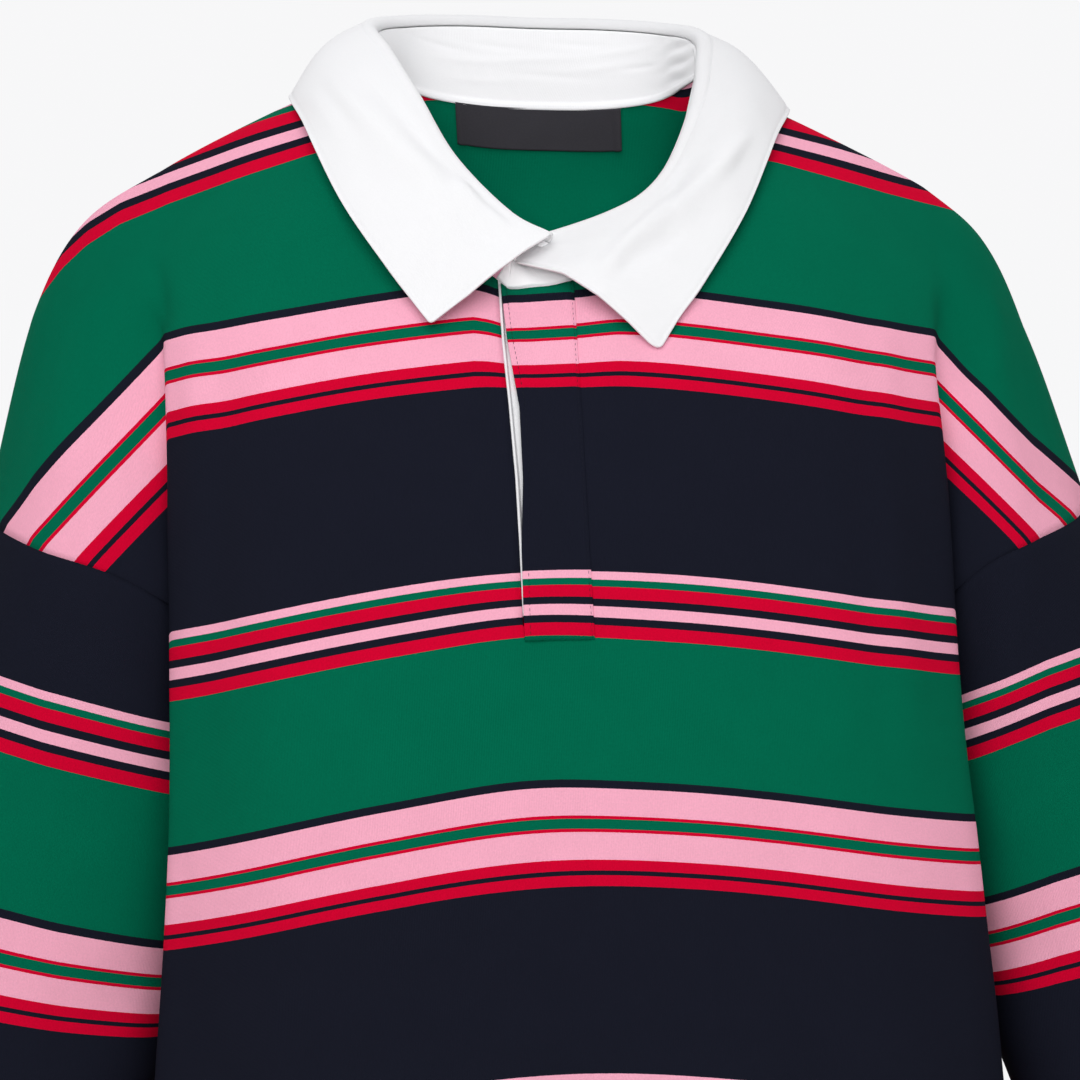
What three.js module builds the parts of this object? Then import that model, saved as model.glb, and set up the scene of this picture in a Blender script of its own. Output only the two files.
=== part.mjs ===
import * as THREE from "three";

// Rugby shirt, filled out as worn, with no wearer. Millimetres, +Z up, the front faces -Y.
// The origin lies midway between the two high points of the shoulders, and +X is the wearer's left.

// Driving sizes
const CLOTH = 1.8;
const SEAM_GAP = 0.6;
const LAYER_GAP = 0.5;
const UNDERARM_STEP = 2.4;
const PLACKET_CLOTH = 1.4;
const LABEL_CLOTH = 1.0;
const ROLL_RADIUS = 4.2;
const STAND_FOOT = 2.3;
const STAND_HEAD = 1.1;
const SLEEVE_LENGTH = 428;
const CUFF_LENGTH = 65;

// How the whole garment leans and tilts with the stance
const LEAN = 0.047;
const TILT_AT_SHOULDER = -0.03;
const TILT_AT_WAIST = 0.045;
const WAIST_DEPTH = 450;
const ARM_SHIFT = -11;
const ARM_SHIFT_FROM = 200;
const ARM_SHIFT_FULL = 260;

// The placket in stations from the centre, and its end in sections
const SLIT = { left: -0.6, right: -0.45, end: 4.9 };
const PLACKET = { right: 0.36, end: 5.05 };
const UNDER_PLACKET = { left: -0.75, right: 0.12, end: 4.86 };

// The slit's edge and the placket's free edge over it, in stations at each section.
// They meet at the top and at the end, and stand open between.
const OPENING = [
  { section: 0, edge: -0.69, lap: -0.66 },
  { section: 1, edge: -0.65, lap: -0.575 },
  { section: 2, edge: -0.585, lap: -0.445 },
  { section: 3, edge: -0.53, lap: -0.43 },
  { section: 4, edge: -0.505, lap: -0.475 },
  { section: 5, edge: -0.49, lap: -0.475 },
];

// The front neckline hangs lower beside the slit: stations from the centre, and height
const NECK_SAG = [
  { station: -1.6, height: 0 },
  { station: -0.9, height: -5.5 },
  { station: -0.6, height: -5.5 },
  { station: -0.2, height: 1 },
  { station: 0.3, height: 3 },
  { station: 1.6, height: 0 },
];
const LABEL = { half: 1.27, top: 0.05, end: 0.55 };

// Each section of a panel runs from the centre to the armhole or the side seam.
// Columns: centre, neck front, neck side, high point, shoulder, chest edge, valley, arm, edge.
// The first section is the neckline and the shoulder seam, the last is the hem.
const FRONT = [
  [[0, -84, -119], [36, -77, -104], [66, -50, -60], [85, 0, 0], [148, 4, -29], [205, 8, -59], [240, 10, -88], [264, 12, -140], [290, 12, -229]],
  [[0, -99, -148], [37, -95, -136], [67, -80, -103], [88, -60, -70], [150, -42, -72], [201, -26, -98], [224, -22, -120], [252, -18, -165], [281, -15, -238]],
  [[0, -113, -182], [38, -111, -172], [70, -102, -150], [93, -92, -138], [151, -70, -128], [196, -46, -140], [200, -36, -164], [236, -38, -198], [257, -41, -249]],
  [[0, -122, -217], [39, -120, -212], [73, -114, -204], [97, -108, -196], [151, -90, -186], [197, -56, -193], [194, -38, -212], [212, -46, -238], [226, -50, -261]],
  [[0, -125, -252], [40, -124, -250], [75, -119, -248], [100, -114, -247], [151, -98, -246], [199, -58, -250], [193, -38, -262], [194, -38, -272], [196, -36, -281]],
  [[0, -125, -292], [41, -124, -293], [76, -121, -295], [102, -117, -297], [152, -102, -303], [200, -57, -312], [193, -38, -312], [181, -12, -309], [172, 15, -305]],
  [[0, -124, -390], [42, -123, -391], [78, -121, -393], [104, -118, -395], [156, -103, -403], [206, -56, -412], [199, -37, -412], [180, -10, -412], [166, 15, -412]],
  [[0, -121, -490], [43, -120, -491], [80, -118, -493], [106, -115, -495], [160, -101, -503], [214, -54, -514], [211, -33, -514], [197, -9, -514], [182, 14, -514]],
  [[0, -118, -610], [44, -117, -611], [82, -115, -613], [109, -112, -615], [166, -98, -622], [222, -50, -633], [221, -30, -633], [212, -8, -633], [203, 14, -633]],
  [[0, -118, -728], [45, -117, -729], [84, -115, -731], [112, -112, -733], [170, -97, -739], [227, -48, -746], [228, -28, -746], [222, -7, -746], [215, 15, -746]],
];
const BACK = [
  [[0, 62, -13], [36, 59, -12], [66, 42, -8], [85, 0, 0], [148, 4, -29], [205, 8, -59], [240, 10, -88], [264, 12, -140], [290, 12, -229]],
  [[0, 86, -58], [36, 85, -57], [66, 76, -54], [90, 58, -50], [152, 56, -74], [204, 56, -104], [232, 56, -137], [256, 56, -180], [282, 48, -236]],
  [[0, 103, -116], [37, 102, -116], [70, 98, -115], [95, 92, -115], [152, 84, -132], [199, 80, -156], [222, 80, -184], [241, 82, -211], [262, 82, -246]],
  [[0, 112, -180], [38, 111, -180], [72, 108, -181], [98, 105, -182], [150, 97, -190], [190, 86, -207], [205, 86, -222], [216, 90, -237], [228, 95, -258]],
  [[0, 114, -246], [39, 113, -246], [74, 111, -247], [99, 108, -248], [148, 99, -254], [182, 82, -262], [188, 75, -268], [190, 73, -274], [191, 70, -283]],
  [[0, 111, -310], [40, 111, -310], [75, 109, -311], [100, 107, -312], [149, 98, -315], [184, 74, -318], [180, 57, -314], [174, 36, -309], [172, 15, -305]],
  [[0, 104, -400], [41, 104, -400], [77, 103, -401], [102, 101, -402], [152, 92, -406], [186, 71, -411], [180, 54, -412], [171, 34, -412], [166, 15, -412]],
  [[0, 101, -502], [42, 101, -502], [79, 100, -503], [104, 98, -504], [156, 90, -508], [201, 64, -513], [202, 47, -514], [193, 30, -514], [182, 14, -514]],
  [[0, 105, -622], [43, 104, -622], [81, 103, -623], [107, 101, -624], [162, 92, -628], [212, 63, -632], [215, 45, -633], [210, 29, -633], [203, 14, -633]],
  [[0, 108, -740], [44, 107, -740], [83, 106, -741], [110, 104, -742], [168, 94, -744], [220, 63, -746], [224, 46, -746], [220, 30, -746], [215, 15, -746]],
];
const HIGH_POINT = 3;
const EDGE = 8;
const UNDERARM = 5;
const HEM = 9;

// Sleeve sections. Columns: distance from the armhole, centre, half width, half depth,
// outward lean and forward pitch in degrees.
const SLEEVE = [
  { at: 64, centre: [246, 28, -324], width: 69, depth: 68, lean: 18, pitch: 0 },
  { at: 132, centre: [265, 30, -388], width: 76, depth: 60, lean: 17, pitch: 0 },
  { at: 200, centre: [283, 30, -454], width: 78, depth: 53, lean: 15, pitch: 4 },
  { at: 275, centre: [297, 19, -526], width: 69, depth: 48, lean: 10, pitch: 12 },
  { at: 350, centre: [308, 0, -598], width: 58, depth: 43, lean: 8, pitch: 15 },
  { at: 410, centre: [316, -16, -655], width: 47, depth: 37, lean: 8, pitch: 15 },
  { at: SLEEVE_LENGTH, centre: [318, -21, -672], width: 36, depth: 30, lean: 8, pitch: 15 },
];
const CUFF = { width: 34, depth: 29, lean: 8, pitch: 15 };

// Collar sections from the centre back to the shoulder: the fold line and the free edge
const COLLAR_BACK = [
  { fold: [0, 60, 34], edge: [0, 92, -24] },
  { fold: [38, 57, 34], edge: [52, 88, -25] },
  { fold: [68, 40, 31], edge: [98, 64, -24] },
  { fold: [86, 8, 24], edge: [130, 12, -15] },
];
// From the shoulder to the front ends the sides differ: the neck opens wider on the wearer's left.
// The foot is the station of the neck seam below.
// The right fall passes the centre, over the left stand, which runs on under it to the slit.
const COLLAR_FRONT = {
  right: [
    { fold: [77, -20, 8], edge: [122, -34, -34], foot: 2.6 },
    { fold: [62, -45, -18], edge: [104, -70, -74], foot: 2.15 },
    { fold: [44, -64, -51], edge: [82, -94, -108], foot: 1.6 },
    { fold: [17, -79, -80], edge: [68, -101, -127], foot: 1.05 },
    { fold: [-3.4, -86, -91.5], edge: [57, -106, -141], foot: 0.72 },
  ],
  left: [
    { fold: [86, -18, 7], edge: [122, -34, -35], foot: 2.65 },
    { fold: [80, -38, -18], edge: [103, -70, -77], foot: 2.3 },
    { fold: [62, -58, -56], edge: [80, -94, -114], foot: 1.75 },
    { fold: [38, -75, -77], edge: [65, -101, -134], foot: 1.05 },
    { fold: [6.8, -89.5, -89.3], edge: [54, -106, -149], foot: 0 },
  ],
};
const STAND_TAB = { foot: -0.64, head: [-17, -90, -106] };
const COLLAR_SHOULDER = 3;
const COLLAR_END = 8;

// Numbers and vectors
const mix = (a, b, t) => a + (b - a) * t;
const ramp = (x, from, to) => Math.min(1, Math.max(0, (x - from) / (to - from)));
const vec = (p) => new THREE.Vector3(p[0], p[1], p[2]);

function steps(from, to, count) {
  return Array.from({ length: count + 1 }, (_, i) => mix(from, to, i / count));
}

// A value from a short table, straight between its rows.
function read(table, column, key, at) {
  const i = Math.max(0, table.slice(0, -1).findLastIndex((row) => row[key] <= at));
  return mix(table[i][column], table[i + 1][column], ramp(at, table[i][key], table[i + 1][key]));
}

// A smooth curve through a list of points, read at a whole or broken index.
function curveAt(points, at, before, after) {
  const last = points.length - 1;
  const i = Math.min(last - 1, Math.max(0, Math.floor(at)));
  const t = at - i;
  const a = points[i];
  const b = points[i + 1];
  const back = i > 0 ? points[i - 1] : before;
  const next = i < last - 1 ? points[i + 2] : after;
  return a.map((_, k) => {
    const p = back ? back[k] : 2 * a[k] - b[k];
    const n = next ? next[k] : 2 * b[k] - a[k];
    const slopeA = (b[k] - p) / 2;
    const slopeB = (n - a[k]) / 2;
    const rise = b[k] - a[k];
    return a[k] + t * (slopeA + t * (3 * rise - 2 * slopeA - slopeB + t * (slopeA + slopeB - 2 * rise)));
  });
}

// The lean, the tilt and the shift of the arms, as the wearer stands.
function stance([x, y, z]) {
  const tilt = mix(TILT_AT_SHOULDER, TILT_AT_WAIST, ramp(-z, 0, WAIST_DEPTH));
  const shift = ARM_SHIFT * ramp(Math.abs(x), ARM_SHIFT_FROM, ARM_SHIFT_FULL);
  return [x - LEAN * z + shift, y, z + tilt * x];
}

// A point of one section of a panel. The neckline and the shoulder seam meet in a corner.
function sectionPoint(panel, index, station) {
  const section = panel[index];
  if (index === 0 && station <= HIGH_POINT) return curveAt(section.slice(0, HIGH_POINT + 1), station, mirrored(section[1]));
  if (index === 0) return curveAt(section.slice(HIGH_POINT), station - HIGH_POINT);
  const other = panel === FRONT ? BACK : FRONT;
  const beyond = index >= UNDERARM ? other[index][EDGE - 1] : undefined;
  return curveAt(section, station, mirrored(section[1]), beyond);
}

function mirrored([x, y, z]) {
  return [-x, y, z];
}

// A point of a panel at a station across it and a section down it, before the stance.
// The edge turns at the underarm, from the armhole into the side seam.
function plainPoint(panel, station, section) {
  const across = Math.abs(station);
  const column = panel.map((_, index) => sectionPoint(panel, index, across));
  const other = panel === FRONT ? BACK : FRONT;
  const overShoulder = across >= HIGH_POINT ? sectionPoint(other, 1, across) : undefined;
  const smooth = curveAt(column, section, overShoulder);
  const turned = section > UNDERARM
    ? curveAt(column.slice(UNDERARM), section - UNDERARM)
    : curveAt(column.slice(0, UNDERARM + 1), section, overShoulder);
  const corner = ramp(across, EDGE - 1, EDGE);
  const point = smooth.map((value, k) => mix(value, turned[k], corner));
  if (panel === FRONT) point[2] += read(NECK_SAG, "height", "station", station) * (1 - ramp(section, 0, 2));
  return station < 0 ? mirrored(point) : point;
}

function panelPoint(panel, station, section) {
  return stance(plainPoint(panel, station, section));
}

// A grid of points, one row for each value down and one point for each value across.
function gridOf(downs, acrosses, pointAt) {
  return downs.map((down) => acrosses.map((across) => vec(pointAt(across, down))));
}

// The outward directions of a grid, from the differences between neighbouring points.
function directionsOf(grid, facing, round) {
  const rows = grid.length;
  const columns = grid[0].length;
  const columnAt = (j) => (round ? (j + columns) % columns : Math.min(columns - 1, Math.max(0, j)));
  return grid.map((row, i) =>
    row.map((_, j) => {
      const across = row[columnAt(j + 1)].clone().sub(row[columnAt(j - 1)]);
      const down = grid[Math.min(rows - 1, i + 1)][j].clone().sub(grid[Math.max(0, i - 1)][j]);
      return down.cross(across).normalize().multiplyScalar(facing);
    }),
  );
}

// Two pieces that meet at a seam lean to the same direction there.
function shareDirections(pairs) {
  for (const [a, b] of pairs) {
    const shared = a.clone().add(b).normalize();
    const miter = Math.min(1.5, 1 / Math.max(0.2, shared.dot(a)));
    a.copy(shared).multiplyScalar(miter);
    b.copy(shared).multiplyScalar(miter);
  }
}

// A closed wall of cloth: the grid's points moved out and in, and a rim along each free edge.
function clothShell(name, grid, directions, facing, { thickness = CLOTH, lift = 0, round = false, omit } = {}) {
  const rows = grid.length;
  const columns = grid[0].length;
  const positions = [];
  const indices = [];
  const sides = [lift + thickness / 2, lift - thickness / 2];
  for (const side of sides)
    for (let i = 0; i < rows; i++)
      for (let j = 0; j < columns; j++)
        positions.push(...grid[i][j].clone().addScaledVector(directions[i][j], side).toArray());
  const outer = (i, j) => i * columns + (j % columns);
  const inner = (i, j) => rows * columns + outer(i, j);
  const cellColumns = round ? columns : columns - 1;
  const present = (i, j) => {
    const column = round ? (j + columns) % columns : j;
    if (i < 0 || i >= rows - 1 || column < 0 || column >= cellColumns) return false;
    return !(omit && omit(i, column));
  };
  const quad = (a, b, c, d) => {
    const turn = facing > 0 ? [a, b, c, a, c, d] : [a, c, b, a, d, c];
    indices.push(...turn);
  };
  for (let i = 0; i < rows - 1; i++)
    for (let j = 0; j < cellColumns; j++) {
      if (!present(i, j)) continue;
      quad(outer(i, j), outer(i + 1, j), outer(i + 1, j + 1), outer(i, j + 1));
      quad(inner(i, j), inner(i, j + 1), inner(i + 1, j + 1), inner(i + 1, j));
      if (!present(i - 1, j)) quad(outer(i, j + 1), inner(i, j + 1), inner(i, j), outer(i, j));
      if (!present(i + 1, j)) quad(outer(i + 1, j), inner(i + 1, j), inner(i + 1, j + 1), outer(i + 1, j + 1));
      if (!present(i, j - 1)) quad(outer(i, j), inner(i, j), inner(i + 1, j), outer(i + 1, j));
      if (!present(i, j + 1)) quad(outer(i + 1, j + 1), inner(i + 1, j + 1), inner(i, j + 1), outer(i, j + 1));
    }
  const geometry = new THREE.BufferGeometry();
  geometry.setAttribute("position", new THREE.Float32BufferAttribute(positions, 3));
  geometry.setIndex(indices);
  geometry.computeVertexNormals();
  const mesh = new THREE.Mesh(geometry, new THREE.MeshStandardMaterial({ side: THREE.DoubleSide }));
  mesh.name = name;
  return mesh;
}

// Moves the edge points of a grid into the piece, so that pieces stay apart at their seams.
function drawnIn(grid, { top = 0, bottom = 0, left = 0, right = 0 }) {
  const rows = grid.length;
  const columns = grid[0].length;
  const pull = (point, towards, edgeFrom, edgeTo, by) => {
    const along = edgeTo.clone().sub(edgeFrom).normalize();
    const step = towards.clone().sub(point);
    step.addScaledVector(along, -step.dot(along)).normalize();
    return point.clone().addScaledVector(step, by);
  };
  const out = grid.map((row) => row.map((p) => p.clone()));
  const alongRow = (i, j) => [grid[i][Math.max(0, j - 1)], grid[i][Math.min(columns - 1, j + 1)]];
  const alongColumn = (i, j) => [grid[Math.max(0, i - 1)][j], grid[Math.min(rows - 1, i + 1)][j]];
  for (let j = 0; j < columns; j++) {
    if (top) out[0][j] = pull(out[0][j], grid[1][j], ...alongRow(0, j), top);
    if (bottom) out[rows - 1][j] = pull(out[rows - 1][j], grid[rows - 2][j], ...alongRow(rows - 1, j), bottom);
  }
  for (let i = 0; i < rows; i++) {
    if (left) out[i][0] = pull(out[i][0], out[i][1], ...alongColumn(i, 0), left);
    if (right) out[i][columns - 1] = pull(out[i][columns - 1], out[i][columns - 2], ...alongColumn(i, columns - 1), right);
  }
  return out;
}

const group = new THREE.Group();
group.name = "rugby_shirt";

// Front and back panels
const SECTIONS_DOWN = [
  0, 0.35, 0.7, 1, 1.35, 1.7, 2, 2.35, 2.7, 3, 3.35, 3.7, 4, 4.35, 4.7, 5, 5.3, 5.65, 6, 6.5, 7, 7.5, 8, 8.5, 9,
];
const HALF_ACROSS = [1, 1.5, 2, 2.5, 3, 3.5, 4, 4.35, 4.7, 5, 5.2, 5.5, 6, 6.5, 7, 7.5, 8];
const FRONT_ACROSS = [
  ...HALF_ACROSS.map((s) => -s).reverse(), SLIT.left, SLIT.right, 0, 0.5, ...HALF_ACROSS,
];
const BACK_ACROSS = [...HALF_ACROSS.map((s) => -s).reverse(), -0.5, 0, 0.5, ...HALF_ACROSS];

// The two columns beside the slit follow its edge
function besideSlit(station, section) {
  const follows = station === SLIT.left || station === SLIT.right;
  return follows ? station + read(OPENING, "edge", "section", section) - SLIT.left : station;
}

const frontGrid = gridOf(SECTIONS_DOWN, FRONT_ACROSS, (s, v) => panelPoint(FRONT, besideSlit(s, v), v));
const backGrid = gridOf(SECTIONS_DOWN, BACK_ACROSS, (s, v) => panelPoint(BACK, s, v));
const frontOut = directionsOf(frontGrid, 1, false);
const backOut = directionsOf(backGrid, -1, false);

function samePlaces(acrossA, acrossB, chosen) {
  return chosen.map((s) => [acrossA.indexOf(s), acrossB.indexOf(s)]);
}

// The shoulder seams and the side seams are shared by the front and the back
const shoulderStations = BACK_ACROSS.filter((s) => Math.abs(s) >= HIGH_POINT);
shareDirections(samePlaces(FRONT_ACROSS, BACK_ACROSS, shoulderStations).map(([a, b]) => [frontOut[0][a], backOut[0][b]]));
for (const station of [-EDGE, EDGE])
  SECTIONS_DOWN.forEach((section, i) => {
    if (section <= UNDERARM) return;
    const a = FRONT_ACROSS.indexOf(station);
    const b = BACK_ACROSS.indexOf(station);
    shareDirections([[frontOut[i][a], backOut[i][b]]]);
  });

const slitColumn = FRONT_ACROSS.indexOf(SLIT.left);
const seams = { top: SEAM_GAP / 2, left: SEAM_GAP / 2, right: SEAM_GAP / 2 };
group.add(
  clothShell("front_panel", drawnIn(frontGrid, seams), frontOut, 1, {
    omit: (i, j) => j === slitColumn && SECTIONS_DOWN[i] < SLIT.end - 0.1,
  }),
);
group.add(clothShell("back_panel", drawnIn(backGrid, seams), backOut, -1));

// A point between the points of a panel's own grid.
function pointOnGrid(grid, columnsAt, station, section) {
  const j = Math.max(0, columnsAt.findLastIndex((s) => s <= station && s < columnsAt.at(-1)));
  const i = Math.max(0, SECTIONS_DOWN.findLastIndex((s) => s <= section && s < HEM));
  const across = ramp(station, columnsAt[j], columnsAt[j + 1]);
  const down = ramp(section, SECTIONS_DOWN[i], SECTIONS_DOWN[i + 1]);
  const above = grid[i][j].clone().lerp(grid[i][j + 1], across);
  return above.lerp(grid[i + 1][j].clone().lerp(grid[i + 1][j + 1], across), down).toArray();
}

// Strips that lie on a panel follow its points, moved out or in
function strip(name, facing, acrosses, downs, thickness, lift, raise = () => 0) {
  const [panelGrid, columnsAt] = facing > 0 ? [frontGrid, FRONT_ACROSS] : [backGrid, BACK_ACROSS];
  const placeAt = (s, v) => (typeof s === "function" ? s(v) : s);
  const grid = gridOf(downs, acrosses, (s, v) => pointOnGrid(panelGrid, columnsAt, placeAt(s, v), v));
  const out = directionsOf(grid, facing, false);
  grid.forEach((row, i) => row.forEach((p, j) => p.addScaledVector(out[i][j], raise(acrosses[j], downs[i]))));
  group.add(clothShell(name, grid, out, facing, { thickness, lift }));
}

const onTop = CLOTH / 2 + LAYER_GAP + PLACKET_CLOTH / 2;
const placketDown = [0.02, 0.35, 0.7, 1, 1.35, 1.7, 2, 2.35, 2.7, 3, 3.35, 3.7, 4, 4.35, 4.7, PLACKET.end];
const placketEdge = (v) => SLIT.left + read(OPENING, "lap", "section", v) - read(OPENING, "edge", "section", v);
strip("placket", 1, [placketEdge, -0.3, 0, 0.2, PLACKET.right], placketDown, PLACKET_CLOTH, onTop);

// The under placket shows its rolled white edge in the slit
const ROLLED_EDGE = { from: -0.56, to: -0.505, height: 1.6 };
const underAcross = [
  UNDER_PLACKET.left, -0.582, ROLLED_EDGE.from, ROLLED_EDGE.to, -0.47, -0.15, UNDER_PLACKET.right,
];
const underDown = [0.04, ...placketDown.slice(1, -1), UNDER_PLACKET.end];
strip("under_placket", 1, underAcross, underDown, PLACKET_CLOTH, -onTop, (s) =>
  s >= ROLLED_EDGE.from && s <= ROLLED_EDGE.to ? ROLLED_EDGE.height : 0,
);

const insideBack = -(CLOTH / 2 + LAYER_GAP + LABEL_CLOTH / 2);
const labelAcross = [-LABEL.half, -1, -0.5, 0, 0.5, 1, LABEL.half];
strip("neck_label", -1, labelAcross, [LABEL.top, 0.2, 0.35, LABEL.end], LABEL_CLOTH, insideBack);

// Sleeves and cuffs

// A point around the arm: 0 is outside, a quarter is in front, a half is the underarm.
function ovalPoint({ centre, width, depth, lean, pitch }, around) {
  const angle = around * 2 * Math.PI;
  const leanBy = THREE.MathUtils.degToRad(lean);
  const pitchBy = THREE.MathUtils.degToRad(pitch);
  const out = width * Math.cos(angle);
  const forward = depth * Math.sin(angle);
  return [
    centre[0] + out * Math.cos(leanBy),
    centre[1] - forward * Math.cos(pitchBy),
    centre[2] + out * Math.sin(leanBy) - forward * Math.sin(pitchBy),
  ];
}

// The armhole runs down the front panel's edge to the underarm and up the back panel's edge.
function armholePoint(around) {
  const onFront = around <= 0.5;
  const section = (onFront ? around : 1 - around) * 2 * UNDERARM;
  return plainPoint(onFront ? FRONT : BACK, EDGE, section);
}

// Under the arm the sleeve starts just outside the side of the body, which hangs beside it.
function sleeveHeadPoint(around) {
  const [x, y, z] = armholePoint(around);
  const under = 1 - ramp(Math.abs(around - 0.5), 0.06, 0.16);
  return [x + UNDERARM_STEP * under, y, z];
}

function sleevePoint(around, ring) {
  const rings = [sleeveHeadPoint(around), ...SLEEVE.map((section) => ovalPoint(section, around))];
  return curveAt(rings, ring);
}

const AROUND = steps(0, 1, 24).slice(0, -1);
const SLEEVE_RINGS = [0, 0.2, 0.5, 0.8, 1.2, 1.6, 2, 2.5, 3, 3.5, 4, 4.5, 5, 5.5, 6, 6.5, 7];

function onSide(side, point) {
  return stance([point[0] * side, point[1], point[2]]);
}

function addSleeve(side, name) {
  const facing = -side;
  const sleeve = gridOf(SLEEVE_RINGS, AROUND, (a, ring) => onSide(side, sleevePoint(a, ring)));
  const sleeveOut = directionsOf(sleeve, facing, true);
  const last = SLEEVE[SLEEVE.length - 1];
  const leanBy = THREE.MathUtils.degToRad(CUFF.lean);
  const pitchBy = THREE.MathUtils.degToRad(CUFF.pitch);
  const along = [Math.sin(leanBy), -Math.sin(pitchBy), -Math.cos(leanBy) * Math.cos(pitchBy)];
  const cuffAt = (a, down) => {
    const centre = last.centre.map((c, k) => c + along[k] * down);
    const fit = ramp(down, 0, 6);
    const width = mix(last.width, CUFF.width, fit);
    const depth = mix(last.depth, CUFF.depth, fit);
    return onSide(side, ovalPoint({ centre, width, depth, lean: CUFF.lean, pitch: CUFF.pitch }, a));
  };
  const cuff = gridOf([0, 6, 30, CUFF_LENGTH], AROUND, cuffAt);
  const cuffOut = directionsOf(cuff, facing, true);
  const seamRing = sleeveOut.length - 1;
  shareDirections(AROUND.map((_, j) => [sleeveOut[seamRing][j], cuffOut[0][j]]));
  const sleeveGrid = drawnIn(sleeve, { top: SEAM_GAP, bottom: SEAM_GAP });
  group.add(clothShell("sleeve_" + name, sleeveGrid, sleeveOut, facing, { round: true }));
  group.add(clothShell("cuff_" + name, drawnIn(cuff, { top: SEAM_GAP / 2 }), cuffOut, facing, { round: true }));
}
addSleeve(1, "left");
addSleeve(-1, "right");

// Collar

// The neckline from the centre back to the front end, in the collar's own sections.
// It runs straight between the panels' own columns.
const NECK_COLUMNS = [-1, -0.6, -0.45, 0, 0.5, 1, 1.5, 2, 2.5, 3];
function necklinePoint(at, side) {
  if (at <= COLLAR_SHOULDER) return onColumns((s) => plainPoint(BACK, s, 0), (at / COLLAR_SHOULDER) * HIGH_POINT);
  const feet = [HIGH_POINT, ...frontSections(side).map((section) => section.foot)];
  return frontNeckPoint(curveAt(feet.map((foot) => [foot]), at - COLLAR_SHOULDER)[0], side);
}

// A point of the front's neckline, for the wearer's left, 1, or right, -1, with x outward.
function frontNeckPoint(station, side) {
  const signed = onColumns((s) => plainPoint(FRONT, besideSlit(s * side, 0), 0), station);
  return [signed[0] * side, signed[1], signed[2]];
}

function onColumns(pointAt, station) {
  const i = NECK_COLUMNS.slice(0, -1).findLastIndex((s) => s <= station);
  const t = ramp(station, NECK_COLUMNS[i], NECK_COLUMNS[i + 1]);
  const [from, to] = [pointAt(NECK_COLUMNS[i]), pointAt(NECK_COLUMNS[i + 1])];
  return from.map((value, k) => mix(value, to[k], t));
}

function frontSections(side) {
  return side > 0 ? COLLAR_FRONT.left : COLLAR_FRONT.right;
}

function collarLine(line, at, side) {
  const rows = [...COLLAR_BACK, ...frontSections(side)].map((section) => section[line]);
  return curveAt(rows, at, mirrored(rows[1]));
}

// The directions of the roll at a place along the fold: along it, up and out.
function rollFrame(at, side) {
  const step = 0.02;
  const fold = (place) => vec(collarLine("fold", place, side));
  const along = fold(Math.min(COLLAR_END, at + step)).sub(fold(at - step)).normalize();
  const awayFrom = (point) => {
    const way = fold(at).sub(vec(point));
    return way.addScaledVector(along, -way.dot(along)).normalize();
  };
  const fromEdge = awayFrom(collarLine("edge", at, side));
  const up = fromEdge.clone().add(awayFrom(necklinePoint(at, side))).normalize();
  const out = fromEdge.negate();
  out.addScaledVector(up, -out.dot(up)).normalize();
  return { up, out };
}

// The fall from the inside of the roll, 0, over its top, 1, to the free edge, 2.
function fallPoint(at, across, side) {
  const { up, out } = rollFrame(at, side);
  const middle = vec(collarLine("fold", at, side)).addScaledVector(up, -ROLL_RADIUS);
  if (across <= 1) {
    const angle = Math.PI * (1 - across * 0.9);
    return middle.clone().addScaledVector(out, ROLL_RADIUS * Math.cos(angle)).addScaledVector(up, ROLL_RADIUS * Math.sin(angle));
  }
  const t = across - 1;
  const start = fallPoint(at, 1, side);
  const end = vec(collarLine("edge", at, side));
  const bulge = 7 * Math.sin(Math.PI * t) * (1 - 0.4 * t);
  return start.lerp(end, t).addScaledVector(out, bulge * 0.8).addScaledVector(up, bulge * 0.6);
}

// The stand from the neck seam, 0, to the inside of the roll, 1. On the wearer's left it runs on
// past the end of the fall as a tab.
function standPoint(at, across, side) {
  const beyond = Math.max(0, at - COLLAR_END);
  const within = Math.min(at, COLLAR_END);
  const footAt = (place) => {
    const tab = place - COLLAR_END;
    if (tab <= 0) return vec(necklinePoint(Math.max(0, place), side));
    return vec(frontNeckPoint(mix(0, STAND_TAB.foot, tab), side));
  };
  const longest = side > 0 ? COLLAR_END + 1 : COLLAR_END;
  const top = fallPoint(within, 0, side).lerp(vec(STAND_TAB.head), beyond);
  const foot = footAt(at);
  const seam = footAt(Math.min(longest, at + 0.1)).sub(footAt(at - 0.1)).normalize();
  const rise = top.clone().sub(foot);
  rise.addScaledVector(seam, -rise.dot(seam)).normalize();
  const low = foot.clone().addScaledVector(rise, STAND_FOOT);
  const high = top.clone().addScaledVector(rollFrame(within, side).up, -STAND_HEAD);
  return low.lerp(high, across);
}

// Both halves of the collar as one row of places, from the wearer's right end to the left.
const COLLAR_PLACES = [
  ...steps(-COLLAR_END, -COLLAR_SHOULDER, 12), ...steps(-COLLAR_SHOULDER, COLLAR_SHOULDER, 12).slice(1, -1),
  ...steps(COLLAR_SHOULDER, COLLAR_END, 12),
];
const FALL_ACROSS = [0, 0.25, 0.5, 0.75, 1, 1.2, 1.45, 1.7, 2];
const fallGrid = gridOf(FALL_ACROSS, COLLAR_PLACES, (place, across) => {
  const side = place < 0 ? -1 : 1;
  return onSide(side, fallPoint(Math.abs(place), across, side).toArray());
});
group.add(clothShell("collar_fall", fallGrid, directionsOf(fallGrid, 1, false), 1, { thickness: 1.6 }));

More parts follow.
